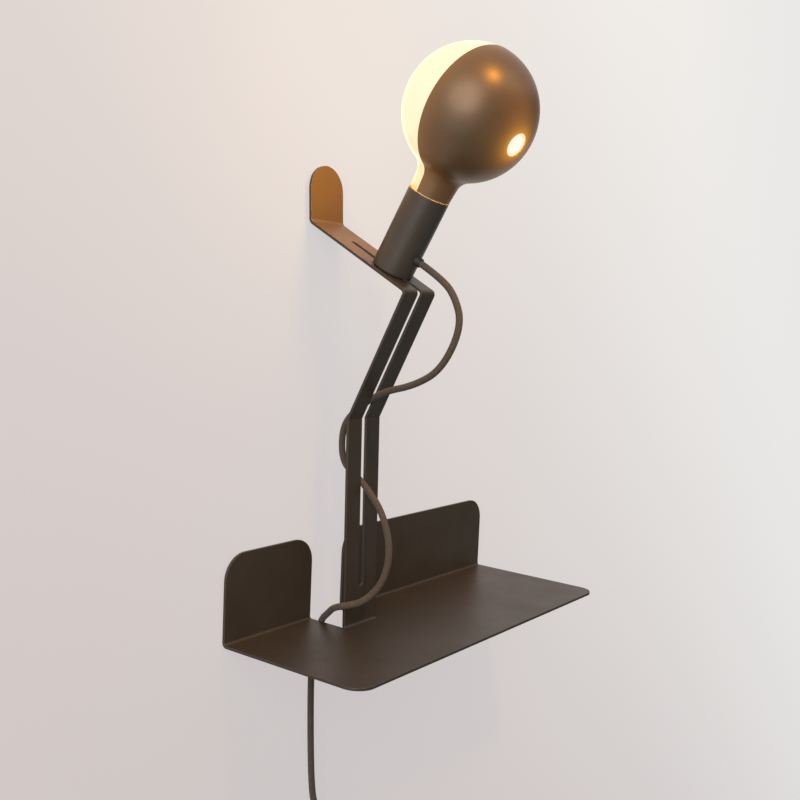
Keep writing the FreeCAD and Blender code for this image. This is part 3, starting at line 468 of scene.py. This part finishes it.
def head_matrix(along, turn=0.0):
    """The lamp head's axes at a place along the tube, turned about it."""
    lean = Matrix.Rotation(math.atan2(*head_axis), 4, "X")
    return Matrix.Translation(head_point(0, 0, along)) @ lean @ Matrix.Rotation(math.radians(turn), 4, "Z")


# Node tools

def new_material(name):
    """A material with its node tree and its shader."""
    paint = bpy.data.materials.new(name)
    paint.use_nodes = True
    return paint, paint.node_tree, paint.node_tree.nodes["Principled BSDF"]


def shown_by(tree, shader):
    """Makes a shader the material's own."""
    put(tree, shader, tree.nodes["Material Output"].inputs["Surface"])


def add(tree, kind, **settings):
    """A new node with its settings."""
    made = tree.nodes.new(kind)
    for name, value in settings.items():
        setattr(made, name, value)
    return made


def put(tree, value, socket):
    """Links another socket to this one, or sets its plain value."""
    if isinstance(value, bpy.types.NodeSocket):
        tree.links.new(value, socket)
    else:
        socket.default_value = value


def calc(tree, operation, *values):
    """One step of arithmetic with numbers."""
    made = add(tree, "ShaderNodeMath", operation=operation)
    for value, socket in zip(values, made.inputs):
        put(tree, value, socket)
    return made.outputs[0]


def vector_calc(tree, operation, a, b):
    """One step of arithmetic with vectors."""
    made = add(tree, "ShaderNodeVectorMath", operation=operation)
    put(tree, a, made.inputs[0])
    put(tree, b, made.inputs[1])
    return made.outputs["Value"] if operation in ("DOT_PRODUCT", "DISTANCE") else made.outputs["Vector"]


def remap(tree, value, low, high, to_low=0.0, to_high=1.0, smooth=False):
    """A number's range stretched to another range and held inside it."""
    made = add(tree, "ShaderNodeMapRange")
    if smooth:
        made.interpolation_type = "SMOOTHSTEP"
    for socket, v in zip(made.inputs, (value, low, high, to_low, to_high)):
        put(tree, v, socket)
    return made.outputs["Result"]


def tinted(tree, share, first, second):
    """A colour between two others, by a share."""
    made = add(tree, "ShaderNodeMix", data_type="RGBA")
    put(tree, share, made.inputs[0])
    for colour, socket in ((first, made.inputs[6]), (second, made.inputs[7])):
        put(tree, colour if isinstance(colour, bpy.types.NodeSocket) else (*colour, 1.0), socket)
    return made.outputs[2]


def object_place(tree):
    """The place on the piece, in metres."""
    return add(tree, "ShaderNodeTexCoord").outputs["Object"]


def noise(tree, place, scale, detail=broad_detail):
    """Soft random tones round one half."""
    made = add(tree, "ShaderNodeTexNoise")
    put(tree, place, made.inputs["Vector"])
    put(tree, scale, made.inputs["Scale"])
    made.inputs["Detail"].default_value = detail
    return made.outputs["Fac"]


def new_group(name, sizes, results):
    """An empty shared effect with the named sizes as inputs, and outputs that are numbers or a normal."""
    group = bpy.data.node_groups.new(name, "ShaderNodeTree")
    for label in sizes:
        group.interface.new_socket(name=label, in_out="INPUT", socket_type="NodeSocketFloat")
    for label in results:
        kind = "NodeSocketVector" if label == "Normal" else "NodeSocketFloat"
        group.interface.new_socket(name=label, in_out="OUTPUT", socket_type=kind)
    return group, group.nodes.new("NodeGroupInput").outputs, group.nodes.new("NodeGroupOutput").inputs


def effect(tree, group, **sizes):
    """A shared effect placed in a material with its own values; gives its outputs."""
    made = add(tree, "ShaderNodeGroup", node_tree=group)
    for name, value in sizes.items():
        put(tree, value, made.inputs[name.replace("_", " ")])
    return made.outputs


# Shared effects

def powder_grain_effect():
    """Powder coat: a fine orange-peel grain and broad, faint mottling."""
    group, given, result = new_group("powder_grain", ("grain size", "mottle size"), ("Height", "Mottle"))
    place = object_place(group)
    fine = noise(group, place, calc(group, "DIVIDE", 1.0, given["grain size"]), fine_detail)
    broad = noise(group, place, calc(group, "DIVIDE", 1.0, given["mottle size"]))
    put(group, fine, result["Height"])
    put(group, remap(group, broad, *coat_mottle_span), result["Mottle"])
    return group


def soft_edge_effect():
    """A small radius on sharp edges: the rounded normal, and how near an edge is."""
    group, given, result = new_group("soft_edge", ("radius",), ("Normal", "Edge"))
    bevel = add(group, "ShaderNodeBevel", samples=edge_samples)
    put(group, given["radius"], bevel.inputs["Radius"])
    flat = add(group, "ShaderNodeNewGeometry").outputs["Normal"]
    same = vector_calc(group, "DOT_PRODUCT", bevel.outputs["Normal"], flat)
    put(group, bevel.outputs["Normal"], result["Normal"])
    put(group, remap(group, same, *edge_span), result["Edge"])
    return group


def drawn_metal_effect():
    """Fine scratches drawn out along the piece, for plated and turned metal."""
    group, given, result = new_group("drawn_metal", ("size", "stretch"), ("Height", "Tone"))
    across = calc(group, "DIVIDE", 1.0, given["size"])
    along = calc(group, "DIVIDE", across, given["stretch"])
    scale = add(group, "ShaderNodeCombineXYZ")
    for socket, value in zip(scale.inputs, (across, across, along)):
        put(group, value, socket)
    place = vector_calc(group, "MULTIPLY", object_place(group), scale.outputs["Vector"])
    lines = noise(group, place, 1.0, scratch_detail)
    put(group, lines, result["Height"])
    put(group, remap(group, lines, *tone_span), result["Tone"])
    return group


def moulded_grain_effect():
    """The eroded skin of a moulded plastic or rubber piece."""
    group, given, result = new_group("moulded_grain", ("size",), ("Height", "Tone"))
    place = object_place(group)
    scale = calc(group, "DIVIDE", 1.0, given["size"])
    cells = add(group, "ShaderNodeTexVoronoi", feature="SMOOTH_F1")
    put(group, place, cells.inputs["Vector"])
    put(group, scale, cells.inputs["Scale"])
    worn = noise(group, place, calc(group, "MULTIPLY", scale, mould_wear_share), fine_detail)
    put(group, cells.outputs["Distance"], result["Height"])
    put(group, remap(group, worn, *tone_span), result["Tone"])
    return group


def braid_effect():
    """A braided sleeve on a cord's own map of turn and length: strands that cross over and under, with a
    shade tone for painted shade in the gaps between them.
    """
    group, given, result = new_group("braid", ("strands", "lay"), ("Height", "Shade", "Fleck"))
    skin = add(group, "ShaderNodeUVMap", uv_map="skin")
    parts = add(group, "ShaderNodeSeparateXYZ")
    put(group, skin.outputs["UV"], parts.inputs["Vector"])
    turn = parts.outputs["X"]
    climb = calc(group, "DIVIDE", parts.outputs["Y"], given["lay"])
    strands = []
    for operation in ("ADD", "SUBTRACT"):
        strands.append(calc(group, "MULTIPLY", calc(group, operation, turn, climb), given["strands"]))
    rounds = []
    for n in strands:
        wave = calc(group, "SINE", calc(group, "MULTIPLY", n, math.pi))
        rounds.append(calc(group, "ABSOLUTE", wave))
    cells = [calc(group, "FLOOR", n) for n in strands]
    upper = calc(group, "FLOORED_MODULO", calc(group, "ADD", *cells), 2.0)
    over = calc(group, "MULTIPLY", rounds[0], upper)
    under = calc(group, "MULTIPLY", rounds[1], calc(group, "SUBTRACT", 1.0, upper))
    top = calc(group, "ADD", over, under)
    threads = calc(group, "SINE", calc(group, "MULTIPLY", strands[0], 2 * math.pi * threads_per_strand))
    put(group, calc(group, "MULTIPLY_ADD", threads, thread_relief, top), result["Height"])
    put(group, calc(group, "POWER", top, strand_shade_power), result["Shade"])
    white = add(group, "ShaderNodeTexWhiteNoise", noise_dimensions="2D")
    corner = add(group, "ShaderNodeCombineXYZ")
    put(group, cells[0], corner.inputs[0])
    put(group, cells[1], corner.inputs[1])
    put(group, corner.outputs["Vector"], white.inputs["Vector"])
    put(group, white.outputs["Value"], result["Fleck"])
    return group


# Materials of the object

def bumped(tree, skin, height, depth, normal=None):
    """Raises the skin by a tone times a depth in metres, in its normal alone."""
    bump = add(tree, "ShaderNodeBump")
    bump.inputs["Distance"].default_value = depth
    put(tree, height, bump.inputs["Height"])
    if normal is not None:
        put(tree, normal, bump.inputs["Normal"])
    put(tree, bump.outputs["Normal"], skin.inputs["Normal"])


def varied_roughness(tree, skin, tone, roughness, swing):
    """A roughness that falls from above its middle to below it as the tone rises."""
    put(tree, remap(tree, tone, 0, 1, roughness + swing, roughness - swing), skin.inputs["Roughness"])


def bronze_paint(name, tones, roughness, metal, edge=coat_edge):
    """Satin bronze powder coat, with a painted highlight that makes it a little lighter on the edges."""
    paint, tree, skin = new_material(name)
    powder = effect(tree, powder_grain, grain_size=coat_grain, mottle_size=coat_mottle)
    rim = effect(tree, soft_edge, radius=edge)
    coat = tinted(tree, powder["Mottle"], tones[0], tones[1])
    # Painted highlight: the colour goes to the lightest tone near the edges.
    put(tree, tinted(tree, rim["Edge"], coat, tones[2]), skin.inputs["Base Color"])
    varied_roughness(tree, skin, powder["Mottle"], roughness, coat_gloss_swing)
    skin.inputs["Metallic"].default_value = metal
    bumped(tree, skin, powder["Height"], coat_relief, rim["Normal"])
    return paint


def fading(tree, distance, start, fall):
    """One up to a distance, and fading away past it."""
    past = calc(tree, "MAXIMUM", calc(tree, "SUBTRACT", distance, start), 0.0)
    return calc(tree, "EXPONENT", calc(tree, "DIVIDE", past, -fall))


def shell_paint():
    """The shell's bronze, a little glossier, with a painted amber glow round the peep hole and along the
    rim in place of the light's halo.
    """
    paint = bronze_paint("shell_bronze", **shell_coat)
    tree = paint.node_tree
    skin = tree.nodes["Principled BSDF"]
    place = object_place(tree)
    # Painted glow: an amber emission that fades away from the peep hole's edge and from the rim's plane.
    from_hole = vector_calc(tree, "DISTANCE", place, tuple(peep_centre))
    painted_halo = fading(tree, from_hole, peep_radius, painted_halo_fall)
    outward = (peep_centre - head_point(0, 0, globe_up - peep_drop)).normalized()
    across = vector_calc(tree, "DOT_PRODUCT", place, tuple(outward))
    from_rim = calc(tree, "SUBTRACT", across, globe_centre.dot(outward))
    painted_rim_spill = calc(tree, "MULTIPLY", fading(tree, from_rim, 0.0, painted_rim_glow_fall), painted_rim_glow)
    glow = tinted(tree, calc(tree, "ADD", painted_halo, painted_rim_spill), (0, 0, 0), painted_glow_colour)
    put(tree, glow, skin.inputs["Emission Color"])
    skin.inputs["Emission Strength"].default_value = painted_glow_strength
    return paint


def plated_metal(
    name,
    light,
    deep,
    roughness,
    metal=1.0,
    size=scratch_size,
    stretch=scratch_stretch,
    depth=scratch_relief,
):
    """Bare, plated or blackened metal with fine drawn scratches."""
    paint, tree, skin = new_material(name)
    lines = effect(tree, drawn_metal, size=size, stretch=stretch)
    put(tree, tinted(tree, lines["Tone"], deep, light), skin.inputs["Base Color"])
    varied_roughness(tree, skin, lines["Tone"], roughness, metal_gloss_swing)
    skin.inputs["Metallic"].default_value = metal
    bumped(tree, skin, lines["Height"], depth)
    return paint


def moulded(name, light, deep, roughness, size=mould_grain, coat=0.0):
    """Plastic, rubber or fired clay with a fine skin."""
    paint, tree, skin = new_material(name)
    grain = effect(tree, moulded_grain, size=size)
    put(tree, tinted(tree, grain["Tone"], deep, light), skin.inputs["Base Color"])
    varied_roughness(tree, skin, grain["Tone"], roughness, mould_gloss_swing)
    skin.inputs["Coat Weight"].default_value = coat
    bumped(tree, skin, grain["Height"], mould_relief)
    return paint


def opal_glass():
    """Opal glass lit from inside: amber at its foot, yellower at its rim, hottest behind the peep hole."""
    paint, tree, skin = new_material("opal_glass")
    place = object_place(tree)
    foot = head_point(0, 0, 0)
    axis = head_point(0, 0, 1) - foot
    along = vector_calc(tree, "DOT_PRODUCT", place, tuple(axis))
    height = calc(tree, "SUBTRACT", along, foot.dot(axis))
    facing = add(tree, "ShaderNodeLayerWeight")
    facing.inputs["Blend"].default_value = glass_rim_blend
    rim = remap(tree, facing.outputs["Facing"], *glass_rim_span)
    body = tinted(tree, rim, glass_body, glass_rim)
    neck = remap(tree, height, tube_top + glass_neck_from, tube_top + glass_neck_to, smooth=True)
    body = tinted(tree, neck, glass_neck, body)
    lowest = remap(tree, height, tube_top, tube_top + glass_foot_to, smooth=True)
    body = tinted(tree, lowest, glass_foot, body)
    from_hole = vector_calc(tree, "DISTANCE", place, tuple(peep_centre))
    hot = remap(tree, from_hole, peep_radius * hot_edge_share, peep_radius * hot_core_share, smooth=True)
    put(tree, tinted(tree, hot, body, glass_hot), skin.inputs["Emission Color"])
    skin.inputs["Emission Strength"].default_value = glass_strength
    cloud = noise(tree, place, glass_cloud_scale)
    put(tree, tinted(tree, cloud, *glass_skin), skin.inputs["Base Color"])
    skin.inputs["Roughness"].default_value = glass_roughness
    return paint


def circuit_board():
    """Green solder resist with paler copper tracks under it."""
    paint, tree, skin = new_material("circuit_board")
    tracks = add(tree, "ShaderNodeTexBrick")
    put(tree, object_place(tree), tracks.inputs["Vector"])
    tracks.inputs["Scale"].default_value = track_scale
    tracks.inputs["Mortar Size"].default_value = track_width
    grain = effect(tree, moulded_grain, size=board_grain)
    put(tree, tinted(tree, tracks.outputs["Fac"], *board_tones), skin.inputs["Base Color"])
    varied_roughness(tree, skin, grain["Tone"], board_roughness, board_gloss_swing)
    bumped(tree, skin, tracks.outputs["Fac"], track_relief)
    return paint


def textile_sleeve():
    """The cord's braided brown sleeve, with painted shade between its strands."""
    paint, tree, skin = new_material("textile_sleeve")
    weave = effect(tree, braid, strands=braid_strands, lay=braid_lay)
    thread = tinted(tree, weave["Fleck"], cord_deep, cord_light)
    put(tree, tinted(tree, weave["Shade"], cord_gap_shade, thread), skin.inputs["Base Color"])
    put(tree, remap(tree, weave["Fleck"], 0, 1, *cord_roughness), skin.inputs["Roughness"])
    skin.inputs["Sheen Weight"].default_value = cord_sheen
    skin.inputs["Sheen Roughness"].default_value = cord_sheen_roughness
    bumped(tree, skin, weave["Height"], braid_relief)
    return paint


def dress(piece, paint):
    """Gives a piece or a CAD node one material."""
    piece.data.materials.clear()
    piece.data.materials.append(paint)


# Stage and light

def stage_sheet(name, corners):
    """A large flat stage piece; its front is the side from which the corners go round anticlockwise."""
    mesh = bpy.data.meshes.new(name)
    mesh.from_pydata(corners, [], [tuple(range(len(corners)))])
    piece = bpy.data.objects.new(name, mesh)
    bpy.context.scene.collection.objects.link(piece)
    piece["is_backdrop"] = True
    return piece


def looked_at(tree):
    """One for rays from the camera, off gloss or through glass, nought for the light itself."""
    path = add(tree, "ShaderNodeLightPath").outputs
    seen = calc(tree, "MAXIMUM", path["Is Camera Ray"], path["Is Glossy Ray"])
    return calc(tree, "MAXIMUM", seen, path["Is Transmission Ray"])


def stage_paint(name, dark, light, painted_light_way):
    """A pale plaster that shows on its front alone, with painted light and shade that brighten it along a
    direction.
    """
    paint, tree, skin = new_material(name)
    # Painted light and shade: the colour goes from the darker end to the lighter one along the given
    # direction.
    along = vector_calc(tree, "DOT_PRODUCT", object_place(tree), painted_light_way)
    colour = tinted(tree, remap(tree, along, wall_painted_shade_end, wall_painted_light_end, smooth=True), dark, light)
    put(tree, tinted(tree, looked_at(tree), (0, 0, 0), colour), skin.inputs["Emission Color"])
    skin.inputs["Emission Strength"].default_value = stage_glow
    share = add(tree, "ShaderNodeMix", data_type="RGBA", blend_type="MULTIPLY")
    share.inputs[0].default_value = 1.0
    put(tree, colour, share.inputs[6])
    share.inputs[7].default_value = (stage_share, stage_share, stage_share, 1.0)
    put(tree, share.outputs[2], skin.inputs["Base Color"])
    skin.inputs["Roughness"].default_value = plaster_roughness
    skin.inputs["Specular IOR Level"].default_value = 0.0
    clear = add(tree, "ShaderNodeBsdfTransparent")
    sides = add(tree, "ShaderNodeMixShader")
    put(tree, add(tree, "ShaderNodeNewGeometry").outputs["Backfacing"], sides.inputs[0])
    put(tree, skin.outputs["BSDF"], sides.inputs[1])
    put(tree, clear.outputs["BSDF"], sides.inputs[2])
    shown_by(tree, sides.outputs["Shader"])
    paint.cycles.emission_sampling = "NONE"
    return paint


def dark_felt():
    """The dark tone of the room's far side."""
    paint, tree, _ = new_material("dark_felt")
    glow = add(tree, "ShaderNodeEmission")
    glow.inputs["Color"].default_value = (*screen_colour, 1.0)
    shown_by(tree, glow.outputs["Emission"])
    paint.cycles.emission_sampling = "NONE"
    return paint


def dark_screen():
    """The room's darker side, a bent screen with its ground, which only reflections see."""
    corners = []
    for z in (floor_z, screen_top):
        for i in range(screen_panels + 1):
            a = math.radians(screen_from + (screen_to - screen_from) * i / screen_panels)
            corners.append((math.sin(a) * screen_radius, -math.cos(a) * screen_radius, z))
    n = screen_panels + 1
    corners.append((0.0, -wall_behind, floor_z + wall_behind))
    panels = [(i, i + 1, n + i + 1, n + i) for i in range(screen_panels)]
    ground = [(i + 1, i, 2 * n) for i in range(screen_panels)]
    mesh = bpy.data.meshes.new("dark_screen")
    mesh.from_pydata(corners, [], panels + ground)
    screen = bpy.data.objects.new("dark_screen", mesh)
    bpy.context.scene.collection.objects.link(screen)
    screen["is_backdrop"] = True
    screen.data.materials.append(dark_felt())
    screen.visible_camera = False
    screen.visible_diffuse = False
    screen.visible_shadow = False
    screen.visible_transmission = False


def build_stage():
    """The wall behind the lamp, the floor below it and the room's darker side."""
    r = stage_reach
    y = wall_behind
    wall = stage_sheet("wall", [(-r, y, floor_z), (r, y, floor_z), (r, y, r), (-r, y, r)])
    floor = stage_sheet("floor", [(-r, -r, floor_z), (r, -r, floor_z), (r, r, floor_z), (-r, r, floor_z)])
    wall.data.materials.append(stage_paint("wall_plaster", wall_painted_shade_colour, wall_painted_light_colour, wall_painted_light_way))
    floor.data.materials.append(stage_paint("floor_plaster", floor_colour, floor_colour, (0.0, 0.0, 1.0)))
    dark_screen()


def build_world():
    """Soft light from the whole room, with a pale backdrop for what is seen, reflected or shone through."""
    world = bpy.data.worlds.new("studio_room")
    world.use_nodes = True
    tree = world.node_tree
    seen = looked_at(tree)
    put(tree, tinted(tree, seen, room_light, backdrop_colour), tree.nodes["Background"].inputs["Color"])
    bpy.context.scene.world = world


def lamp(name, kind, given, place):
    """One lamp with its given power, colour and size, aimed at the globe."""
    data = bpy.data.lights.new(name, kind)
    data.energy = given["watts"]
    data.color = given["colour"]
    if kind == "AREA":
        data.shape = "DISK"
        data.size = given["size"]
    else:
        data.shadow_soft_size = given["size"]
    light = bpy.data.objects.new(name, data)
    bpy.context.scene.collection.objects.link(light)
    light.location = place
    light.rotation_mode = "QUATERNION"
    light.rotation_quaternion = (globe_centre - place).to_track_quat("-Z", "Y")
    light.visible_camera = False
    return light


def round_globe(azimuth, elevation, distance):
    """A place round the globe; azimuth 0 is straight out from the wall."""
    return globe_centre + direction(azimuth, elevation) * distance


def linked(light, lit, blockers=None):
    """Keeps a lamp's light to some objects, and its shadows too where they are given."""
    for end, chosen in (("lights", lit), ("shadows", blockers)):
        if chosen is None:
            continue
        group = bpy.data.collections.new(light.name + "_" + end)
        for piece in chosen:
            group.objects.link(piece)
        if end == "lights":
            light.light_linking.receiver_collection = group
        else:
            light.light_linking.blocker_collection = group


def light_up():
    """The studio's lamps, the warm light on the shell's far side, and the light inside the globe."""
    studio = {
        "key_softbox": key_light,
        "window_softbox": window_light,
        "ceiling_spot": ceiling_light,
        "low_softbox": low_light,
        "amber_softbox": amber_light,
    }
    for name, given in studio.items():
        made = lamp(name, "AREA", given, round_globe(*given["place"]))
        if given is amber_light:
            linked(made, [shell_cover])
    stage = [o for o in bpy.context.scene.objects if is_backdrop(o)]
    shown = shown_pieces()
    inside = [nodes[n] for n in ("globe_glass", "light_carrier", "light_board", "bulb_collar")]
    inside.append(bpy.data.objects["light_chips"])
    blockers = [piece for piece in shown if piece not in inside]
    heart = head_point(0, globe_light_back, globe_up)
    for name, given, lit in (("globe_light", globe_light, shown), ("globe_glow", globe_glow, stage)):
        made = lamp(name, "POINT", given, heart)
        linked(made, lit, blockers)
        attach(made, "bulb")


# Pieces made by geometry nodes

def shape_tree(name, inputs):
    """An empty geometry tree with named inputs; gives the tree and its input sockets."""
    tree = bpy.data.node_groups.new(name, "GeometryNodeTree")
    tree.interface.new_socket(name="Geometry", in_out="OUTPUT", socket_type="NodeSocketGeometry")
    for label, kind in inputs.items():
        tree.interface.new_socket(name=label, in_out="INPUT", socket_type=kind)
    return tree, tree.nodes.new("NodeGroupInput").outputs, tree.nodes.new("NodeGroupOutput").inputs[0]


def grown(name, tree, values, place, body):
    """The tree's result as a plain mesh, put in its place, that rides on a body."""
    seed = bpy.data.objects.new(name, bpy.data.meshes.new(name + "_seed"))
    bpy.context.scene.collection.objects.link(seed)
    modifier = seed.modifiers.new("grow", "NODES")
    modifier.node_group = tree
    for socket in tree.interface.items_tree:
        if socket.in_out == "INPUT":
            modifier[socket.identifier] = values[socket.name]
    evaluated = seed.evaluated_get(bpy.context.evaluated_depsgraph_get())
    mesh = bpy.data.meshes.new_from_object(evaluated)
    seed.modifiers.clear()
    mesh.transform(place)
    seed.data = mesh
    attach(seed, body)
    return seed


def ring_of_blocks_tree(name):
    """Small blocks on a ring that face outwards, with their number, radius and size as inputs."""
    inputs = {
        "Count": "NodeSocketInt",
        "Radius": "NodeSocketFloat",
        "Block": "NodeSocketVector",
        "Finish": "NodeSocketMaterial",
    }
    tree, given, result = shape_tree(name, inputs)
    copies = add(tree, "GeometryNodeInstanceOnPoints")
    ring = add(tree, "GeometryNodeMeshCircle")
    put(tree, given["Count"], ring.inputs["Vertices"])
    put(tree, given["Radius"], ring.inputs["Radius"])
    facing = add(tree, "FunctionNodeAlignRotationToVector", axis="X")
    put(tree, add(tree, "GeometryNodeInputPosition").outputs["Position"], facing.inputs["Vector"])
    put(tree, facing.outputs["Rotation"], copies.inputs["Rotation"])
    block = add(tree, "GeometryNodeMeshCube")
    put(tree, given["Block"], block.inputs["Size"])
    put(tree, ring.outputs["Mesh"], copies.inputs["Points"])
    put(tree, block.outputs["Mesh"], copies.inputs["Instance"])
    real = add(tree, "GeometryNodeRealizeInstances")
    put(tree, copies.outputs["Instances"], real.inputs["Geometry"])
    finish = add(tree, "GeometryNodeSetMaterial")
    put(tree, real.outputs["Geometry"], finish.inputs["Geometry"])
    put(tree, given["Finish"], finish.inputs["Material"])
    put(tree, finish.outputs["Geometry"], result)
    return tree


def trimmed_shell():
    """The half shell with its rim trimmed back to its plane, where points of its mesh stray past it."""
    mesh = nodes["half_shell"].data.copy()
    own_axes = head_matrix(globe_up, shell_turn)
    to_own_axes = own_axes.inverted()
    for vertex in mesh.vertices:
        place = to_own_axes @ vertex.co
        if place.y > -rim_front:
            place.y = -rim_front
            vertex.co = own_axes @ place
    cover = bpy.data.objects.new("shell_cover", mesh)
    bpy.context.scene.collection.objects.link(cover)
    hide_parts("half_shell")
    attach(cover, "bulb")
    return cover


# Making it

bpy.context.scene.view_settings.view_transform = "Standard"
photo_camera()
globe_centre = head_point(0, 0, globe_up)
peep_out = math.sqrt(globe_radius ** 2 - peep_drop ** 2)
peep_centre = head_matrix(globe_up - peep_drop, shell_turn) @ Vector((0, -peep_out, 0))

flex_line = route_spline("flex_line", [at(*p) for p in flex_route])
flex_points = evenly(line_points(flex_line), cord_step)
lead_line = route_spline("lead_line", lead_route())
lead_points = evenly(line_points(lead_line), cord_step)
flex = sleeve("textile_flex", flex_points, cord_diameter)
lead = sleeve("textile_lead", lead_points, cord_diameter)
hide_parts("cord_upper", "cord_lower")
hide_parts("cord_coil")
powder_grain = powder_grain_effect()
soft_edge = soft_edge_effect()
drawn_metal = drawn_metal_effect()
moulded_grain = moulded_grain_effect()
braid = braid_effect()
finishes = {
    "bracket_paint": bronze_paint("bracket_bronze", **bracket_coat),
    "tube_paint": bronze_paint("tube_bronze", **tube_coat),
    "shell_paint": shell_paint(),
    "zinc": plated_metal("zinc_plate", **zinc_plate),
    "black_steel": plated_metal("blackened_steel", **blackened_steel),
    "opal_glass": opal_glass(),
    "black_plastic": moulded("black_plastic", **black_plastic),
    "matt_black": moulded("matt_black", **matt_black),
    "white_plastic": moulded("white_plastic", **white_plastic),
    "porcelain": moulded("porcelain", **porcelain),
    "brass": plated_metal("brass", **brass),
    "nickel": plated_metal("nickel_plate", **nickel_plate),
    "board": circuit_board(),
    "aluminium": plated_metal("cast_aluminium", **cast_aluminium, **cast_skin),
    "core": moulded("core_insulation", **core_insulation),
    "textile": textile_sleeve(),
    "rubber": moulded("soft_rubber", **soft_rubber),
}
for part in frame["record"]["subparts"]:
    dress(nodes[part["node"]], finishes[part["material_slot"]])
shell_cover = trimmed_shell()
dress(shell_cover, finishes["shell_paint"])
for piece in (flex, lead):
    dress(piece, finishes["textile"])
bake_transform(flex)
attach(lead, "bracket")

light_chips = grown(
    "light_chips",
    ring_of_blocks_tree("chip_ring"),
    {
        "Count": chip_count,
        "Radius": chip_ring_radius,
        "Block": chip_size,
        "Finish": finishes["white_plastic"],
    },
    head_matrix(board_top + chip_size[2] / 2, shell_turn),
    "bulb",
)

build_stage()
build_world()
light_up()
